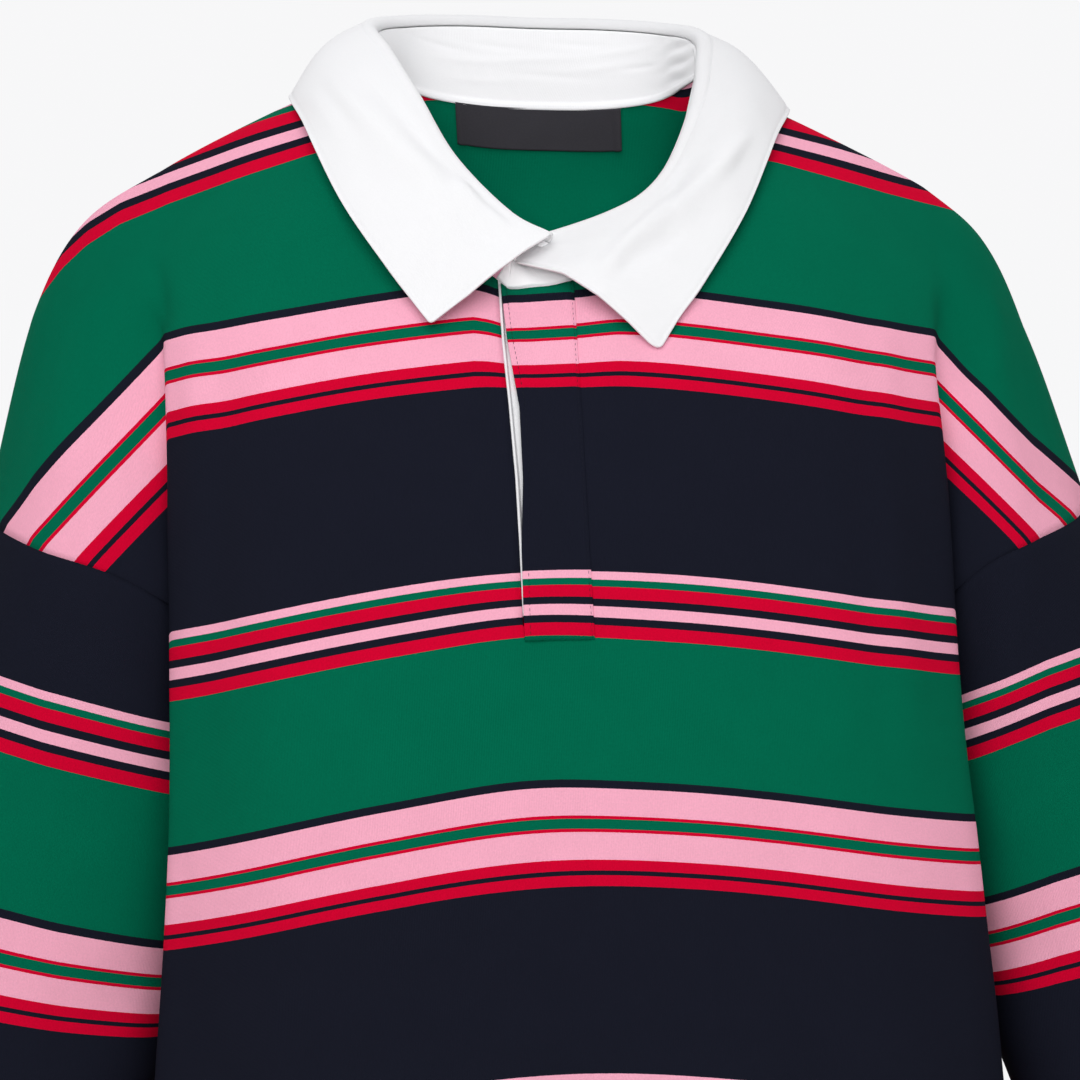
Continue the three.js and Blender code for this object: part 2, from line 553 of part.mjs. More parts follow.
const standPlaces = [...COLLAR_PLACES, ...steps(COLLAR_END, COLLAR_END + 1, 5).slice(1)];
const standGrid = gridOf([1, 0.66, 0.33, 0], standPlaces, (place, across) => {
  const side = place < 0 ? -1 : 1;
  return onSide(side, standPoint(Math.abs(place), across, side).toArray());
});
group.add(clothShell("collar_stand", standGrid, directionsOf(standGrid, 1, false), 1, { thickness: 1.6 }));

export default group;
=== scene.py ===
import math

import bmesh
import bpy
import numpy as np
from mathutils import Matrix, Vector


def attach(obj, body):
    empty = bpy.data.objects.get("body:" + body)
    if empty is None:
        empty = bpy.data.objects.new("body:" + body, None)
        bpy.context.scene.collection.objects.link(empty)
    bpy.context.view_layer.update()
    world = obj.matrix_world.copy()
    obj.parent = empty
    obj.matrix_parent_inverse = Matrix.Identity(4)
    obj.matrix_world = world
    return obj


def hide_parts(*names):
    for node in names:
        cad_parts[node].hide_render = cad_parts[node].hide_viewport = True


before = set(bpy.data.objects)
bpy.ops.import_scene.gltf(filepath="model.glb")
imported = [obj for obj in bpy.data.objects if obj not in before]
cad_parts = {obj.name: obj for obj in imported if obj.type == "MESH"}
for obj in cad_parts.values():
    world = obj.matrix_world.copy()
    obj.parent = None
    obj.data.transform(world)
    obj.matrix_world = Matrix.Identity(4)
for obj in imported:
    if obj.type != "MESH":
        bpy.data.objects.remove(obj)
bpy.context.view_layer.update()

# The shirt's own numbers are in millimetres, and every mesh is made in metres
MM = 0.001

# How the whole garment leans and tilts with the stance
LEAN = 0.047
TILT_AT_SHOULDER = -0.03
TILT_AT_WAIST = 0.045
WAIST_DEPTH = 450
ARM_SHIFT = -11
ARM_SHIFT_FROM = 200
ARM_SHIFT_FULL = 260

# The placket in stations from the centre, and its end in sections
SLIT_LEFT = -0.6
SLIT_RIGHT = -0.45
SLIT_END = 4.9
PLACKET_RIGHT = 0.36
PLACKET_END = 5.05
TAPE_LEFT = -0.75
TAPE_RIGHT = 0.12
TAPE_END = 4.86

# The slit's edge and the placket's free edge over it. Columns: section, edge and lap in stations.
OPENING = np.array([
    [0, -0.69, -0.66], [1, -0.65, -0.575], [2, -0.585, -0.445],
    [3, -0.53, -0.43], [4, -0.505, -0.475], [5, -0.49, -0.475],
])

# The front neckline hangs lower beside the slit. Columns: station, height.
NECK_SAG = np.array([[-1.6, 0], [-0.95, -1], [-0.7, -2.5], [-0.6, -6], [-0.2, 0.5], [0.3, 3], [1.6, 0]])

# How much lower the stripes hang beside the slit, on the front and on the placket.
# Columns: station, mm.
STRIPE_SAG = np.array([
    [-5, 0], [-4, -1.2], [-2.2, -1.4], [-1.5, -1.6], [-1.05, -1.8], [-0.8, 0.2], [-0.62, 2.2],
    [-0.45, 4], [0.4, 3.2], [0.9, 0.5], [1.6, 0], [4.5, 0], [5.5, -1.6], [8, -1.6],
])
PLACKET_SAG = np.array([[-0.6, 7.6], [-0.3, 7.2], [0, 6.4], [0.36, 5.6]])

# Each section of a panel runs from the centre to the armhole or the side seam.
# Columns: centre, neck front, neck side, high point, shoulder, chest edge, valley, arm, edge.
# The first section is the neckline and the shoulder seam, the last is the hem.
FRONT = np.array([
    [[0, -84, -119], [36, -77, -104], [66, -50, -60], [85, 0, 0], [148, 4, -29],
     [205, 8, -59], [240, 10, -88], [264, 12, -140], [290, 12, -229]],
    [[0, -99, -148], [37, -95, -136], [67, -80, -103], [88, -60, -70], [150, -42, -72],
     [201, -26, -98], [224, -22, -120], [252, -18, -165], [281, -15, -238]],
    [[0, -113, -182], [38, -111, -172], [70, -102, -150], [93, -92, -138], [151, -70, -128],
     [196, -46, -140], [200, -36, -164], [236, -38, -198], [257, -41, -249]],
    [[0, -122, -217], [39, -120, -212], [73, -114, -204], [97, -108, -196], [151, -90, -186],
     [197, -56, -193], [194, -38, -212], [212, -46, -238], [226, -50, -261]],
    [[0, -125, -252], [40, -124, -250], [75, -119, -248], [100, -114, -247], [151, -98, -246],
     [199, -58, -250], [193, -38, -262], [194, -38, -272], [196, -36, -281]],
    [[0, -125, -292], [41, -124, -293], [76, -121, -295], [102, -117, -297], [152, -102, -303],
     [200, -57, -312], [193, -38, -312], [181, -12, -309], [172, 15, -305]],
    [[0, -124, -390], [42, -123, -391], [78, -121, -393], [104, -118, -395], [156, -103, -403],
     [206, -56, -412], [199, -37, -412], [180, -10, -412], [166, 15, -412]],
    [[0, -121, -490], [43, -120, -491], [80, -118, -493], [106, -115, -495], [160, -101, -503],
     [214, -54, -514], [211, -33, -514], [197, -9, -514], [182, 14, -514]],
    [[0, -118, -610], [44, -117, -611], [82, -115, -613], [109, -112, -615], [166, -98, -622],
     [222, -50, -633], [221, -30, -633], [212, -8, -633], [203, 14, -633]],
    [[0, -118, -728], [45, -117, -729], [84, -115, -731], [112, -112, -733], [170, -97, -739],
     [227, -48, -746], [228, -28, -746], [222, -7, -746], [215, 15, -746]],
], float)
BACK = np.array([
    [[0, 62, -13], [36, 59, -12], [66, 42, -8], [85, 0, 0], [148, 4, -29],
     [205, 8, -59], [240, 10, -88], [264, 12, -140], [290, 12, -229]],
    [[0, 86, -58], [36, 85, -57], [66, 76, -54], [90, 58, -50], [152, 56, -74],
     [204, 56, -104], [232, 56, -137], [256, 56, -180], [282, 48, -236]],
    [[0, 103, -116], [37, 102, -116], [70, 98, -115], [95, 92, -115], [152, 84, -132],
     [199, 80, -156], [222, 80, -184], [241, 82, -211], [262, 82, -246]],
    [[0, 112, -180], [38, 111, -180], [72, 108, -181], [98, 105, -182], [150, 97, -190],
     [190, 86, -207], [205, 86, -222], [216, 90, -237], [228, 95, -258]],
    [[0, 114, -246], [39, 113, -246], [74, 111, -247], [99, 108, -248], [148, 99, -254],
     [182, 82, -262], [188, 75, -268], [190, 73, -274], [191, 70, -283]],
    [[0, 111, -310], [40, 111, -310], [75, 109, -311], [100, 107, -312], [149, 98, -315],
     [184, 74, -318], [180, 57, -314], [174, 36, -309], [172, 15, -305]],
    [[0, 104, -400], [41, 104, -400], [77, 103, -401], [102, 101, -402], [152, 92, -406],
     [186, 71, -411], [180, 54, -412], [171, 34, -412], [166, 15, -412]],
    [[0, 101, -502], [42, 101, -502], [79, 100, -503], [104, 98, -504], [156, 90, -508],
     [201, 64, -513], [202, 47, -514], [193, 30, -514], [182, 14, -514]],
    [[0, 105, -622], [43, 104, -622], [81, 103, -623], [107, 101, -624], [162, 92, -628],
     [212, 63, -632], [215, 45, -633], [210, 29, -633], [203, 14, -633]],
    [[0, 108, -740], [44, 107, -740], [83, 106, -741], [110, 104, -742], [168, 94, -744],
     [220, 63, -746], [224, 46, -746], [220, 30, -746], [215, 15, -746]],
], float)
HIGH_POINT = 3
EDGE = 8
UNDERARM = 5
HEM = 9
UNDERARM_STEP = 2.4

# Sleeve sections. Columns: distance from the armhole, centre x, y, z, half width, half depth,
# outward lean and forward pitch in degrees.
SLEEVE = np.array([
    [64, 246, 28, -324, 69, 68, 18, 0],
    [132, 265, 30, -388, 76, 60, 17, 0],
    [200, 283, 30, -454, 78, 53, 15, 4],
    [275, 297, 19, -526, 69, 48, 10, 12],
    [350, 308, 0, -598, 58, 43, 8, 15],
    [410, 316, -16, -655, 47, 37, 8, 15],
    [428, 318, -21, -672, 36, 30, 8, 15],
], float)
CUFF_LENGTH = 65
CUFF = dict(width=34, depth=29, lean=8, pitch=15)

# Collar sections from the centre back to the shoulder. Columns: fold x, y, z and free edge x, y, z.
COLLAR_BACK = np.array([
    [0, 60, 34, 0, 92, -24], [38, 57, 34, 52, 88, -25],
    [68, 40, 31, 98, 64, -24], [86, 8, 24, 130, 12, -15],
], float)
# From the shoulder to the front ends on each side, 1 for the wearer's left and -1 for the right.
# Columns: fold x, y, z, free edge x, y, z, station of the neck seam. x runs outward.
COLLAR_FRONT = {
    -1: np.array([
        [77, -20, 8, 122, -34, -34, 2.6], [62, -45, -18, 104, -70, -74, 2.15],
        [44, -64, -51, 82, -94, -108, 1.6], [17, -79, -80, 68, -101, -127, 1.05],
        [-3.4, -86, -91.5, 57, -106, -141, 0.72],
    ]),
    1: np.array([
        [86, -18, 7, 122, -34, -35, 2.65], [80, -38, -18, 103, -70, -77, 2.3],
        [62, -58, -56, 80, -94, -114, 1.75], [38, -75, -77, 65, -101, -134, 1.05],
        [6.8, -89.5, -89.3, 54, -106, -149, 0],
    ]),
}
TAB_FOOT = -0.64
TAB_HEAD = np.array([-17, -89, -100.0])
COLLAR_SHOULDER = 3
COLLAR_END = 8
ROLL_RADIUS = 4.2
STAND_FOOT = 2.3

# The front end of the left fall is drawn in under the right one as a tongue, and the end of the
# right fall stands a little proud over it. Columns: place across the fall, move in x, y, z.
TONGUE = np.array([
    [0, -26, 8, -7.5], [0.5, -26, 7.5, -7.5], [1, -25, 6, -7], [1.1, -29, 6, -6.5], [1.2, -34, 7, -5],
    [1.27, -31, 7.5, -3], [1.35, -28, 7.5, -0.5], [1.45, -22, 6, 2.5], [1.6, -11.5, 1.5, 0],
    [1.8, -5.5, 0, -0.5], [2, 0, 0, -2.2],
])
PROUD = np.array([
    [0, 0, -5, 1], [0.4, 0, -5.5, 0], [1, 0, -5.5, 0], [1.35, 0, -4, 0], [1.7, 1, 0, 1], [2, 3, 0, 3.2],
])
TONGUE_LENGTH = 1.4
TIP_RADIUS = {1: 5.0, -1: 2.5}

# Stripes down the cut, in mm, from the top of the wide green one. They repeat every 251 mm.
STRIPES = [
    ("green", 71.0), ("navy", 4.0), ("pink", 13.5), ("red", 1.6), ("green", 4.9), ("red", 1.6),
    ("pink", 13.5), ("red", 5.3), ("navy", 2.3), ("red", 5.4), ("navy", 94.0), ("pink", 4.2),
    ("green", 3.6), ("red", 6.3), ("navy", 3.9), ("pink", 5.7), ("navy", 3.9), ("red", 6.4),
]
REPEAT = sum(width for _, width in STRIPES)
NAVY_END = sum(width for _, width in STRIPES[:11])
GREEN_TOP = 48.0
SLEEVE_NAVY = 72.0
STRIPE_WANDER = 0.0002

# The stripes over each drop shoulder, 1 for the wearer's left, counted from one point of the arm.
# Columns: level at that point, how fast it falls going out, how fast it rises going down.
ARM_POINT = (196, -148)
ARM_PITCH = 0.95
ARM_STRIPES = {-1: (125.5, 0.755, 0.656), 1: (128.4, 0.674, 0.739)}

# How much higher the stripes sit on each sleeve, 1 for the wearer's left. Columns: distance down, mm.
SLEEVE_LIFT = {
    1: np.array([[0, 13.5], [72, 13], [110, 9.7], [185, 6.3], [290, 3], [428, 0]]),
    -1: np.array([[0, 11], [72, 9.5], [110, 6], [185, 3.3], [290, 2.6], [428, 0]]),
}

# Where the wide green stripe begins under the shoulder seam, as worn. Columns: x, height.
SHOULDER_GREEN = np.array([
    [-290, -176], [-262, -120], [-253, -109], [-249, -104], [-236, -92], [-218, -81], [-192, -71],
    [-157, -60], [-115, -48], [0, -30], [121, -51], [147, -57], [180, -65], [209, -72],
    [220, -75], [240, -86], [262, -112], [290, -170],
])

COLOURS = {
    "green": "#00684C", "navy": "#191B27", "pink": "#FBB0C8", "red": "#D30330",
    "white": "#F3F3F5", "label": "#39383D", "floor": "#F1F0EE",
}


# Numbers

def ramp(x, start, end):
    """A straight step from 0 at start to 1 at end."""
    return np.clip((x - start) / (end - start), 0, 1)


def ease(x, start, end):
    """A smooth step from 0 at start to 1 at end."""
    t = ramp(x, start, end)
    return t * t * (3 - 2 * t)


def mix(a, b, t):
    """The value a share t of the way from a to b."""
    return a + (b - a) * t


def curve_at(points, at, before=None, after=None):
    """A smooth curve through points[k], read at whole or broken indices. The same as in the solids."""
    last = len(points) - 1
    first = 2 * points[0] - points[1] if before is None else before
    end = 2 * points[last] - points[last - 1] if after is None else after
    padded = np.concatenate([first[None], points, end[None]])
    i = np.clip(np.floor(at).astype(int), 0, last - 1)
    t = (at - i).reshape(-1, *([1] * (points.ndim - 1)))
    p, a, b, n = padded[i], padded[i + 1], padded[i + 2], padded[i + 3]
    slope_a, slope_b, rise = (b - p) / 2, (n - a) / 2, b - a
    return a + t * (slope_a + t * (3 * rise - 2 * slope_a - slope_b + t * (slope_a + slope_b - 2 * rise)))


def flipped(point):
    """A point's mirror image across the centre line."""
    return point * np.array([-1, 1, 1])


def stance(p):
    """The lean, the tilt and the shift of the arms, as the wearer stands."""
    x, y, z = p[..., 0], p[..., 1], p[..., 2]
    tilt = mix(TILT_AT_SHOULDER, TILT_AT_WAIST, ramp(-z, 0, WAIST_DEPTH))
    shift = ARM_SHIFT * ramp(np.abs(x), ARM_SHIFT_FROM, ARM_SHIFT_FULL)
    return np.stack([x - LEAN * z + shift, y, z + tilt * x], -1)


# The panels' form

def section_points(panel, index, stations):
    """One section at many stations. The neckline and the shoulder seam meet in a corner."""
    section = panel[index]
    before = flipped(section[1])
    if index == 0:
        neck = curve_at(section[: HIGH_POINT + 1], np.minimum(stations, HIGH_POINT), before)
        shoulder = curve_at(section[HIGH_POINT:], np.maximum(stations, HIGH_POINT) - HIGH_POINT)
        return np.where((stations <= HIGH_POINT)[:, None], neck, shoulder)
    other = BACK if panel is FRONT else FRONT
    beyond = other[index][EDGE - 1] if index >= UNDERARM else None
    return curve_at(section, stations, before, beyond)


def panel_plain(panel, stations, sections):
    """Points of a panel before the stance, rows for sections and columns for stations."""
    across = np.abs(stations)
    columns = np.stack([section_points(panel, k, across) for k in range(len(panel))])
    other = BACK if panel is FRONT else FRONT
    natural = 2 * columns[0] - columns[1]
    over = np.where((across >= HIGH_POINT)[:, None], section_points(other, 1, across), natural)
    smooth = curve_at(columns, sections, over)
    upper = curve_at(columns[: UNDERARM + 1], np.minimum(sections, UNDERARM), over)
    lower = curve_at(columns[UNDERARM:], np.maximum(sections, UNDERARM) - UNDERARM)
    turned = np.where((sections > UNDERARM)[:, None, None], lower, upper)
    corner = ramp(across, EDGE - 1, EDGE)[None, :, None]
    points = mix(smooth, turned, corner)
    if panel is FRONT:
        sag = np.interp(stations, NECK_SAG[:, 0], NECK_SAG[:, 1])
        points[..., 2] += sag[None, :] * (1 - ramp(sections, 0, 2))[:, None]
    points[..., 0] *= np.where(stations < 0, -1, 1)[None, :]
    return points


def slanted(stations, sections):
    """Stations for each section: the columns beside the slit follow its edge."""
    lean = np.interp(sections, OPENING[:, 0], OPENING[:, 1]) - SLIT_LEFT
    weight = np.interp(stations, [-1, SLIT_LEFT, SLIT_RIGHT, 0], [0, 1, 1, 0])
    return stations[None, :] + lean[:, None] * weight[None, :]


def panel_slanted(panel, stations, sections):
    """Points of the front where the columns beside the slit lean with it."""
    moved = slanted(stations, sections)
    plain = panel_plain(panel, stations, sections)
    beside = np.abs(moved - stations[None, :]).max(0) > 1e-9
    for i in range(len(sections)):
        plain[i, beside] = panel_plain(panel, moved[i, beside], sections[i : i + 1])[0]
    return plain


def normals_of(grid, facing=1, closed=False):
    """Outward unit directions of a grid of points."""
    if closed:
        wide = np.concatenate([grid[:, -1:], grid, grid[:, :1]], 1)
        across = (wide[:, 2:] - wide[:, :-2]) / 2
    else:
        across = np.gradient(grid, axis=1)
    down = np.gradient(grid, axis=0)
    n = np.cross(down, across) * facing
    return n / np.maximum(np.linalg.norm(n, axis=-1, keepdims=True), 1e-9)


def run_lengths(grid, axis):
    """Distance along the rows, or down the columns, of a grid."""
    steps = np.linalg.norm(np.diff(grid, axis=axis), axis=-1)
    zero = np.zeros_like(np.take(steps, [0], axis=axis))
    return np.concatenate([zero, np.cumsum(steps, axis=axis)], axis)


# Stripe levels on the cut

def chest_level(p):
    """How far down the cut a point of the body lies, in mm: level stripes that arch over the chest."""
    x = np.clip(p[..., 0] / 100, -2.2, 2.3)
    z = p[..., 2] / 100
    upper = np.maximum(z, -4.2)
    down = 2.86 - 100.16 * upper - 100.2 * (z - upper) - 0.1 * upper**2
    skew = -2.77 * x - 3.33 * x * upper - 0.21 * x * upper**2 + 0.02 * x**3 + 0.11 * x**3 * upper
    arch = -7.51 * x**2 + 0.42 * x**2 * upper + 0.64 * x**4
    under_slit = 2.3 * np.exp(-(((x + 0.04) / 0.42) ** 2)) * ease(-z, 2.5, 2.9) * (1 - ease(-z, 3.5, 4.4))
    return down + skew + arch + under_slit


def arm_level(plain):
    """The same level over the upper arm, where the cloth hangs and its stripes run down and out."""
    x, z = np.abs(plain[..., 0]), plain[..., 2]
    levels = {}
    for side, (level, outward, down) in ARM_STRIPES.items():
        levels[side] = level + ARM_PITCH * (-outward * (x - ARM_POINT[0]) - down * (z - ARM_POINT[1]))
    return np.where(plain[..., 0] < 0, levels[-1], levels[1])


def shoulder_level(posed):
    """Beside the shoulder seam the stripes follow its slope, and run out over the drop shoulder."""
    x, z = posed[..., 0], posed[..., 2]
    green = np.interp(x, SHOULDER_GREEN[:, 0], SHOULDER_GREEN[:, 1])
    pitch = np.interp(np.abs(x), [190, 250], [0.935, 0.8])
    return GREEN_TOP + pitch * (green - z), green


def stripe_sag(table, stations, sections):
    """How far the stripes hang beside the slit, in mm. It fades towards the slit's end."""
    return np.interp(stations, table[:, 0], table[:, 1]) * (1 - ease(sections, 0.3, 2.6))


def body_level(plain, posed, stations, sections):
    """The chest's level, passing into the arm's over the drop shoulder."""
    over_arm = ease(np.abs(stations), 5.0, 5.8)[None, :] * (1 - ease(sections, 4.0, 5.0))[:, None]
    level = mix(chest_level(posed), arm_level(plain), over_arm)
    beside_seam, green = shoulder_level(posed)
    near = ease(posed[..., 2] - green, -42, -4) * ease(np.abs(stations), 2.4, 3.6)[None, :]
    return mix(level, beside_seam, near)


def front_level(plain, posed, stations, sections):
    """The front's level, with its sag beside the slit."""
    sag = stripe_sag(STRIPE_SAG, stations[None, :], sections[:, None])
    return body_level(plain, posed, stations, sections) - sag


def back_level(plain, posed, stations, sections):
    """The back is cut shorter at the neck, so its stripes lie higher there."""
    at_neck = (1 - ease(sections, 0, 4.5))[:, None]
    at_centre = (1 - 0.55 * ease(np.abs(stations), 1.5, 6))[None, :]
    return body_level(plain, posed, stations, sections) + 36 * at_neck * at_centre


# Creases

# Soft folds of the front. Columns: x and z of the top end, x and z of the low end, width, height.
FRONT_FOLDS = [
    (-178, -120, -176, -330, 10, 2.2), (-160, -150, -168, -420, 12, -1.8),
    (180, -130, 186, -360, 10, 2.0), (163, -170, 172, -450, 13, -1.7),
    (-108, -30, -150, -150, 16, 1.6), (112, -40, 160, -165, 17, 1.5),
    (-60, -300, -84, -760, 30, 3.0), (70, -330, 92, -760, 33, 2.6),
    (8, -380, 4, -760, 34, -2.2), (-140, -360, -150, -760, 26, -2.4),
    (140, -420, 160, -760, 25, -2.2), (-12, -292, -70, -380, 15, 1.2), (24, -290, 80, -372, 17, -1.0),
    (-205, -90, -262, -220, 12, 1.2), (210, -100, 250, -215, 13, -1.1),
    (-201, -100, -192, -146, 6, -3.2), (-214, -106, -226, -150, 8, -1.8),
    (214, -108, 222, -166, 8, -2.8), (236, -112, 241, -160, 7, 1.8),
]
BACK_FOLDS = [
    (-92, -30, -160, -200, 20, 2.2), (96, -36, 168, -210, 22, 2.0),
    (-30, -60, -52, -300, 30, 1.8), (46, -90, 60, -330, 28, -1.6),
    (-120, -240, -112, -760, 26, -3.0), (-64, -300, -70, -760, 28, 3.2),
    (2, -260, 6, -760, 30, -2.8), (66, -320, 74, -760, 30, 3.0),
    (128, -250, 134, -760, 26, -2.8), (-168, -330, -176, -700, 15, 1.8), (170, -340, 190, -700, 15, 1.7),
]


def fold_relief(p, folds):
    """Height of the soft folds: a bell across each line, fading at both of its ends."""
    x, z = p[..., 0], p[..., 2]
    height = np.zeros_like(x)
    for number, (x0, z0, x1, z1, width, peak) in enumerate(folds):
        length = math.hypot(x1 - x0, z1 - z0)
        dx, dz = (x1 - x0) / length, (z1 - z0) / length
        along = ((x - x0) * dx + (z - z0) * dz) / length
        bend = width * 0.35 * np.sin(along * 4.1 + number * 1.7)
        aside = (x - x0) * dz - (z - z0) * dx + bend
        wide = width * (0.8 + 0.5 * along)
        fading = ease(along, -0.12, 0.3) * (1 - ease(along, 0.75, 1.15))
        strength = fading * (1 + 0.2 * np.sin(along * 9 + number))
        height += peak * strength * np.exp(-((aside / wide) ** 2))
    return height


def slow_waves(p, amount):
    """A very slight unevenness of the whole cloth."""
    x, y, z = p[..., 0], p[..., 1], p[..., 2]
    first = np.sin(x * 0.031 + z * 0.013 + 0.6) * np.sin(z * 0.021 - x * 0.009 + y * 0.01)
    second = np.sin(x * 0.067 - z * 0.018 + 2.1) * np.sin(z * 0.043 + x * 0.015 + 0.4)
    return amount * (first + 0.5 * second)


def seam_tuck(distance, depth, width):
    """Cloth turns in to its seam: lower within a few mm of it."""
    return -depth * np.exp(-((distance / width) ** 2))


# Meshes

def grid_mesh(name, grid, material, uv=None, closed=False, thickness=1.0, facing=1, omit=None, body="root"):
    """A surface through a grid of points, rows down and columns across, thickened evenly on both sides."""
    rows, columns = grid.shape[:2]
    number = np.arange(rows * columns).reshape(rows, columns)
    if closed:
        number = np.concatenate([number, number[:, :1]], 1)
    a, b, c, d = number[:-1, :-1], number[1:, :-1], number[1:, 1:], number[:-1, 1:]
    quads = np.stack([a, b, c, d] if facing > 0 else [a, d, c, b], -1)
    keep = np.ones(quads.shape[:2], bool)
    if omit is not None:
        keep &= ~omit
    quads = quads[keep]
    mesh = bpy.data.meshes.new(name)
    mesh.from_pydata((grid.reshape(-1, 3) * MM).tolist(), [], quads.tolist())
    if uv is not None:
        if closed:
            wrapped = uv[:, :1].copy()
            wrapped[..., 0] += uv[:, -1:, 0] + (uv[:, 1:2, 0] - uv[:, :1, 0]) - uv[:, :1, 0]
            uv = np.concatenate([uv, wrapped], 1)
        corners = [uv[:-1, :-1], uv[1:, :-1], uv[1:, 1:], uv[:-1, 1:]]
        if facing < 0:
            corners = [corners[0], corners[3], corners[2], corners[1]]
        flat = np.stack(corners, 2)[keep]
        layer = mesh.uv_layers.new(name="cut")
        layer.data.foreach_set("uv", (flat * MM).astype(np.float32).ravel())
    mesh.polygons.foreach_set("use_smooth", np.ones(len(mesh.polygons), bool))
    used = np.zeros(rows * columns, bool)
    used[quads.ravel()] = True
    piece = bpy.data.objects.new(name, mesh)
    bpy.context.scene.collection.objects.link(piece)
    if not used.all():
        remove_loose(mesh, used)
    mesh.materials.append(material)
    if thickness:
        wall = piece.modifiers.new("cloth wall", "SOLIDIFY")
        wall.thickness = thickness * MM
        wall.offset = 0
    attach(piece, body)
    return piece


def remove_loose(mesh, used):
    """Takes out the points that no face uses."""
    work = bmesh.new()
    work.from_mesh(mesh)
    bmesh.ops.delete(work, geom=[v for v in work.verts if not used[v.index]], context="VERTS")
    work.to_mesh(mesh)
    work.free()


def stitch_row(name, path, normals, material, stitch=2.4, gap=0.7, width=0.42, lift=0.2):
    """A run of stitches: short rounded threads along a path, each sunk a little at its ends."""
    steps = np.linalg.norm(np.diff(path, axis=0), axis=1)
    run = np.concatenate([[0], np.cumsum(steps)])
    count = int(run[-1] // (stitch + gap))
    starts = np.arange(count) * (stitch + gap) + gap / 2
    read = lambda values, at: np.stack([np.interp(at, run, values[:, k]) for k in range(3)], -1)
    along = np.array([0.0, 0.25, 0.5, 0.75, 1.0])
    swell = np.array([0.25, 0.9, 1.0, 0.9, 0.25])
    rise = np.array([-0.5, 0.6, 1.0, 0.6, -0.5])
    sides = 5
    at = starts[:, None] + along[None, :] * stitch
    centre = read(path, at.ravel()).reshape(count, 5, 3)
    out = read(normals, at.ravel()).reshape(count, 5, 3)
    tangent = centre[:, -1:] - centre[:, :1]
    tangent = tangent / np.linalg.norm(tangent, axis=-1, keepdims=True)
    side = np.cross(out, tangent)
    centre = centre + out * (lift * rise)[None, :, None]
    angles = np.arange(sides) * 2 * np.pi / sides
    radius = width / 2 * swell
    ring = out[:, :, None] * np.cos(angles)[:, None] + side[:, :, None] * np.sin(angles)[:, None]
    points = centre[:, :, None] + ring * radius[None, :, None, None]
    thread_start = (np.arange(count) * 5 * sides)[:, None]
    ring_start = thread_start[:, :, None] + (np.arange(4) * sides)[None, :, None]
    corner = np.arange(sides)
    here, beside = ring_start + corner, ring_start + (corner + 1) % sides
    quads = np.stack([here, beside, beside + sides, here + sides], -1).reshape(-1, 4)
    first = thread_start + corner[::-1]
    last = thread_start + 4 * sides + corner
    mesh = bpy.data.meshes.new(name)
    faces = quads.tolist() + first.tolist() + last.tolist()
    mesh.from_pydata((points.reshape(-1, 3) * MM).tolist(), [], faces)
    mesh.polygons.foreach_set("use_smooth", np.ones(len(mesh.polygons), bool))
    mesh.materials.append(material)
    piece = bpy.data.objects.new(name, mesh)
    bpy.context.scene.collection.objects.link(piece)
    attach(piece, "root")


# Materials

def linear(hex_colour):
    """An sRGB hex colour as linear numbers."""
    parts = [int(hex_colour[k : k + 2], 16) / 255 for k in (1, 3, 5)]
    return [p / 12.92 if p <= 0.04045 else ((p + 0.055) / 1.055) ** 2.4 for p in parts] + [1.0]


def new_material(name, roughness, sheen=0.0):
    """A matt surface, ready for its colour and its bump."""
    material = bpy.data.materials.new(name)
    material.use_nodes = True
    tree = material.node_tree
    shader = tree.nodes["Principled BSDF"]
    shader.inputs["Roughness"].default_value = roughness
    shader.inputs["Sheen Weight"].default_value = sheen
    shader.inputs["Sheen Roughness"].default_value = 0.5
    shader.inputs["IOR"].default_value = 1.46
    shader.inputs["Specular IOR Level"].default_value = 0.04
    return material, tree, shader


def add_node(tree, kind, inputs=None, **settings):
    """Adds a node. inputs maps a socket's name or number to a value, or to a socket to link from."""
    node = tree.nodes.new(kind)
    for key, value in settings.items():
        setattr(node, key, value)
    for key, value in (inputs or {}).items():
        socket = node.inputs[key]
        if isinstance(value, bpy.types.NodeSocket):
            tree.links.new(value, socket)
        else:
            socket.default_value = value
    return node


def plain_colour(tree, name):
    """One of the shirt's colours."""
    colour = add_node(tree, "ShaderNodeRGB").outputs[0]
    colour.default_value = linear(COLOURS[name])
    return colour


def cut_coordinates(tree):
    """The piece's own cut: across and down the cloth, in metres."""
    uv = add_node(tree, "ShaderNodeUVMap", uv_map="cut")
    split = add_node(tree, "ShaderNodeSeparateXYZ", {0: uv.outputs["UV"]})
    return uv.outputs["UV"], split.outputs["X"], split.outputs["Y"]


def math_node(tree, operation, a, b=0.0):
    """The result of one sum on two values."""
    return add_node(tree, "ShaderNodeMath", {0: a, 1: b}, operation=operation).outputs[0]


def knit_height(tree, across, down, wale=0.00085, course=0.00065):
    """Fine jersey: columns of small loops, each a rounded rib broken by the courses."""
    rib = math_node(tree, "SINE", math_node(tree, "MULTIPLY", across, 2 * math.pi / wale))
    loop = math_node(tree, "SINE", math_node(tree, "MULTIPLY", down, 2 * math.pi / course))
    return math_node(tree, "ADD", math_node(tree, "MULTIPLY", rib, 0.6), math_node(tree, "MULTIPLY", loop, 0.4))


def fibre_noise(tree, vector, scale, detail=3.0):
    """Soft random grain, with a given number of grains to the metre."""
    noise = add_node(tree, "ShaderNodeTexNoise", {
        "Vector": vector, "Scale": scale, "Detail": detail, "Roughness": 0.6,
    })
    return noise.outputs["Fac"]


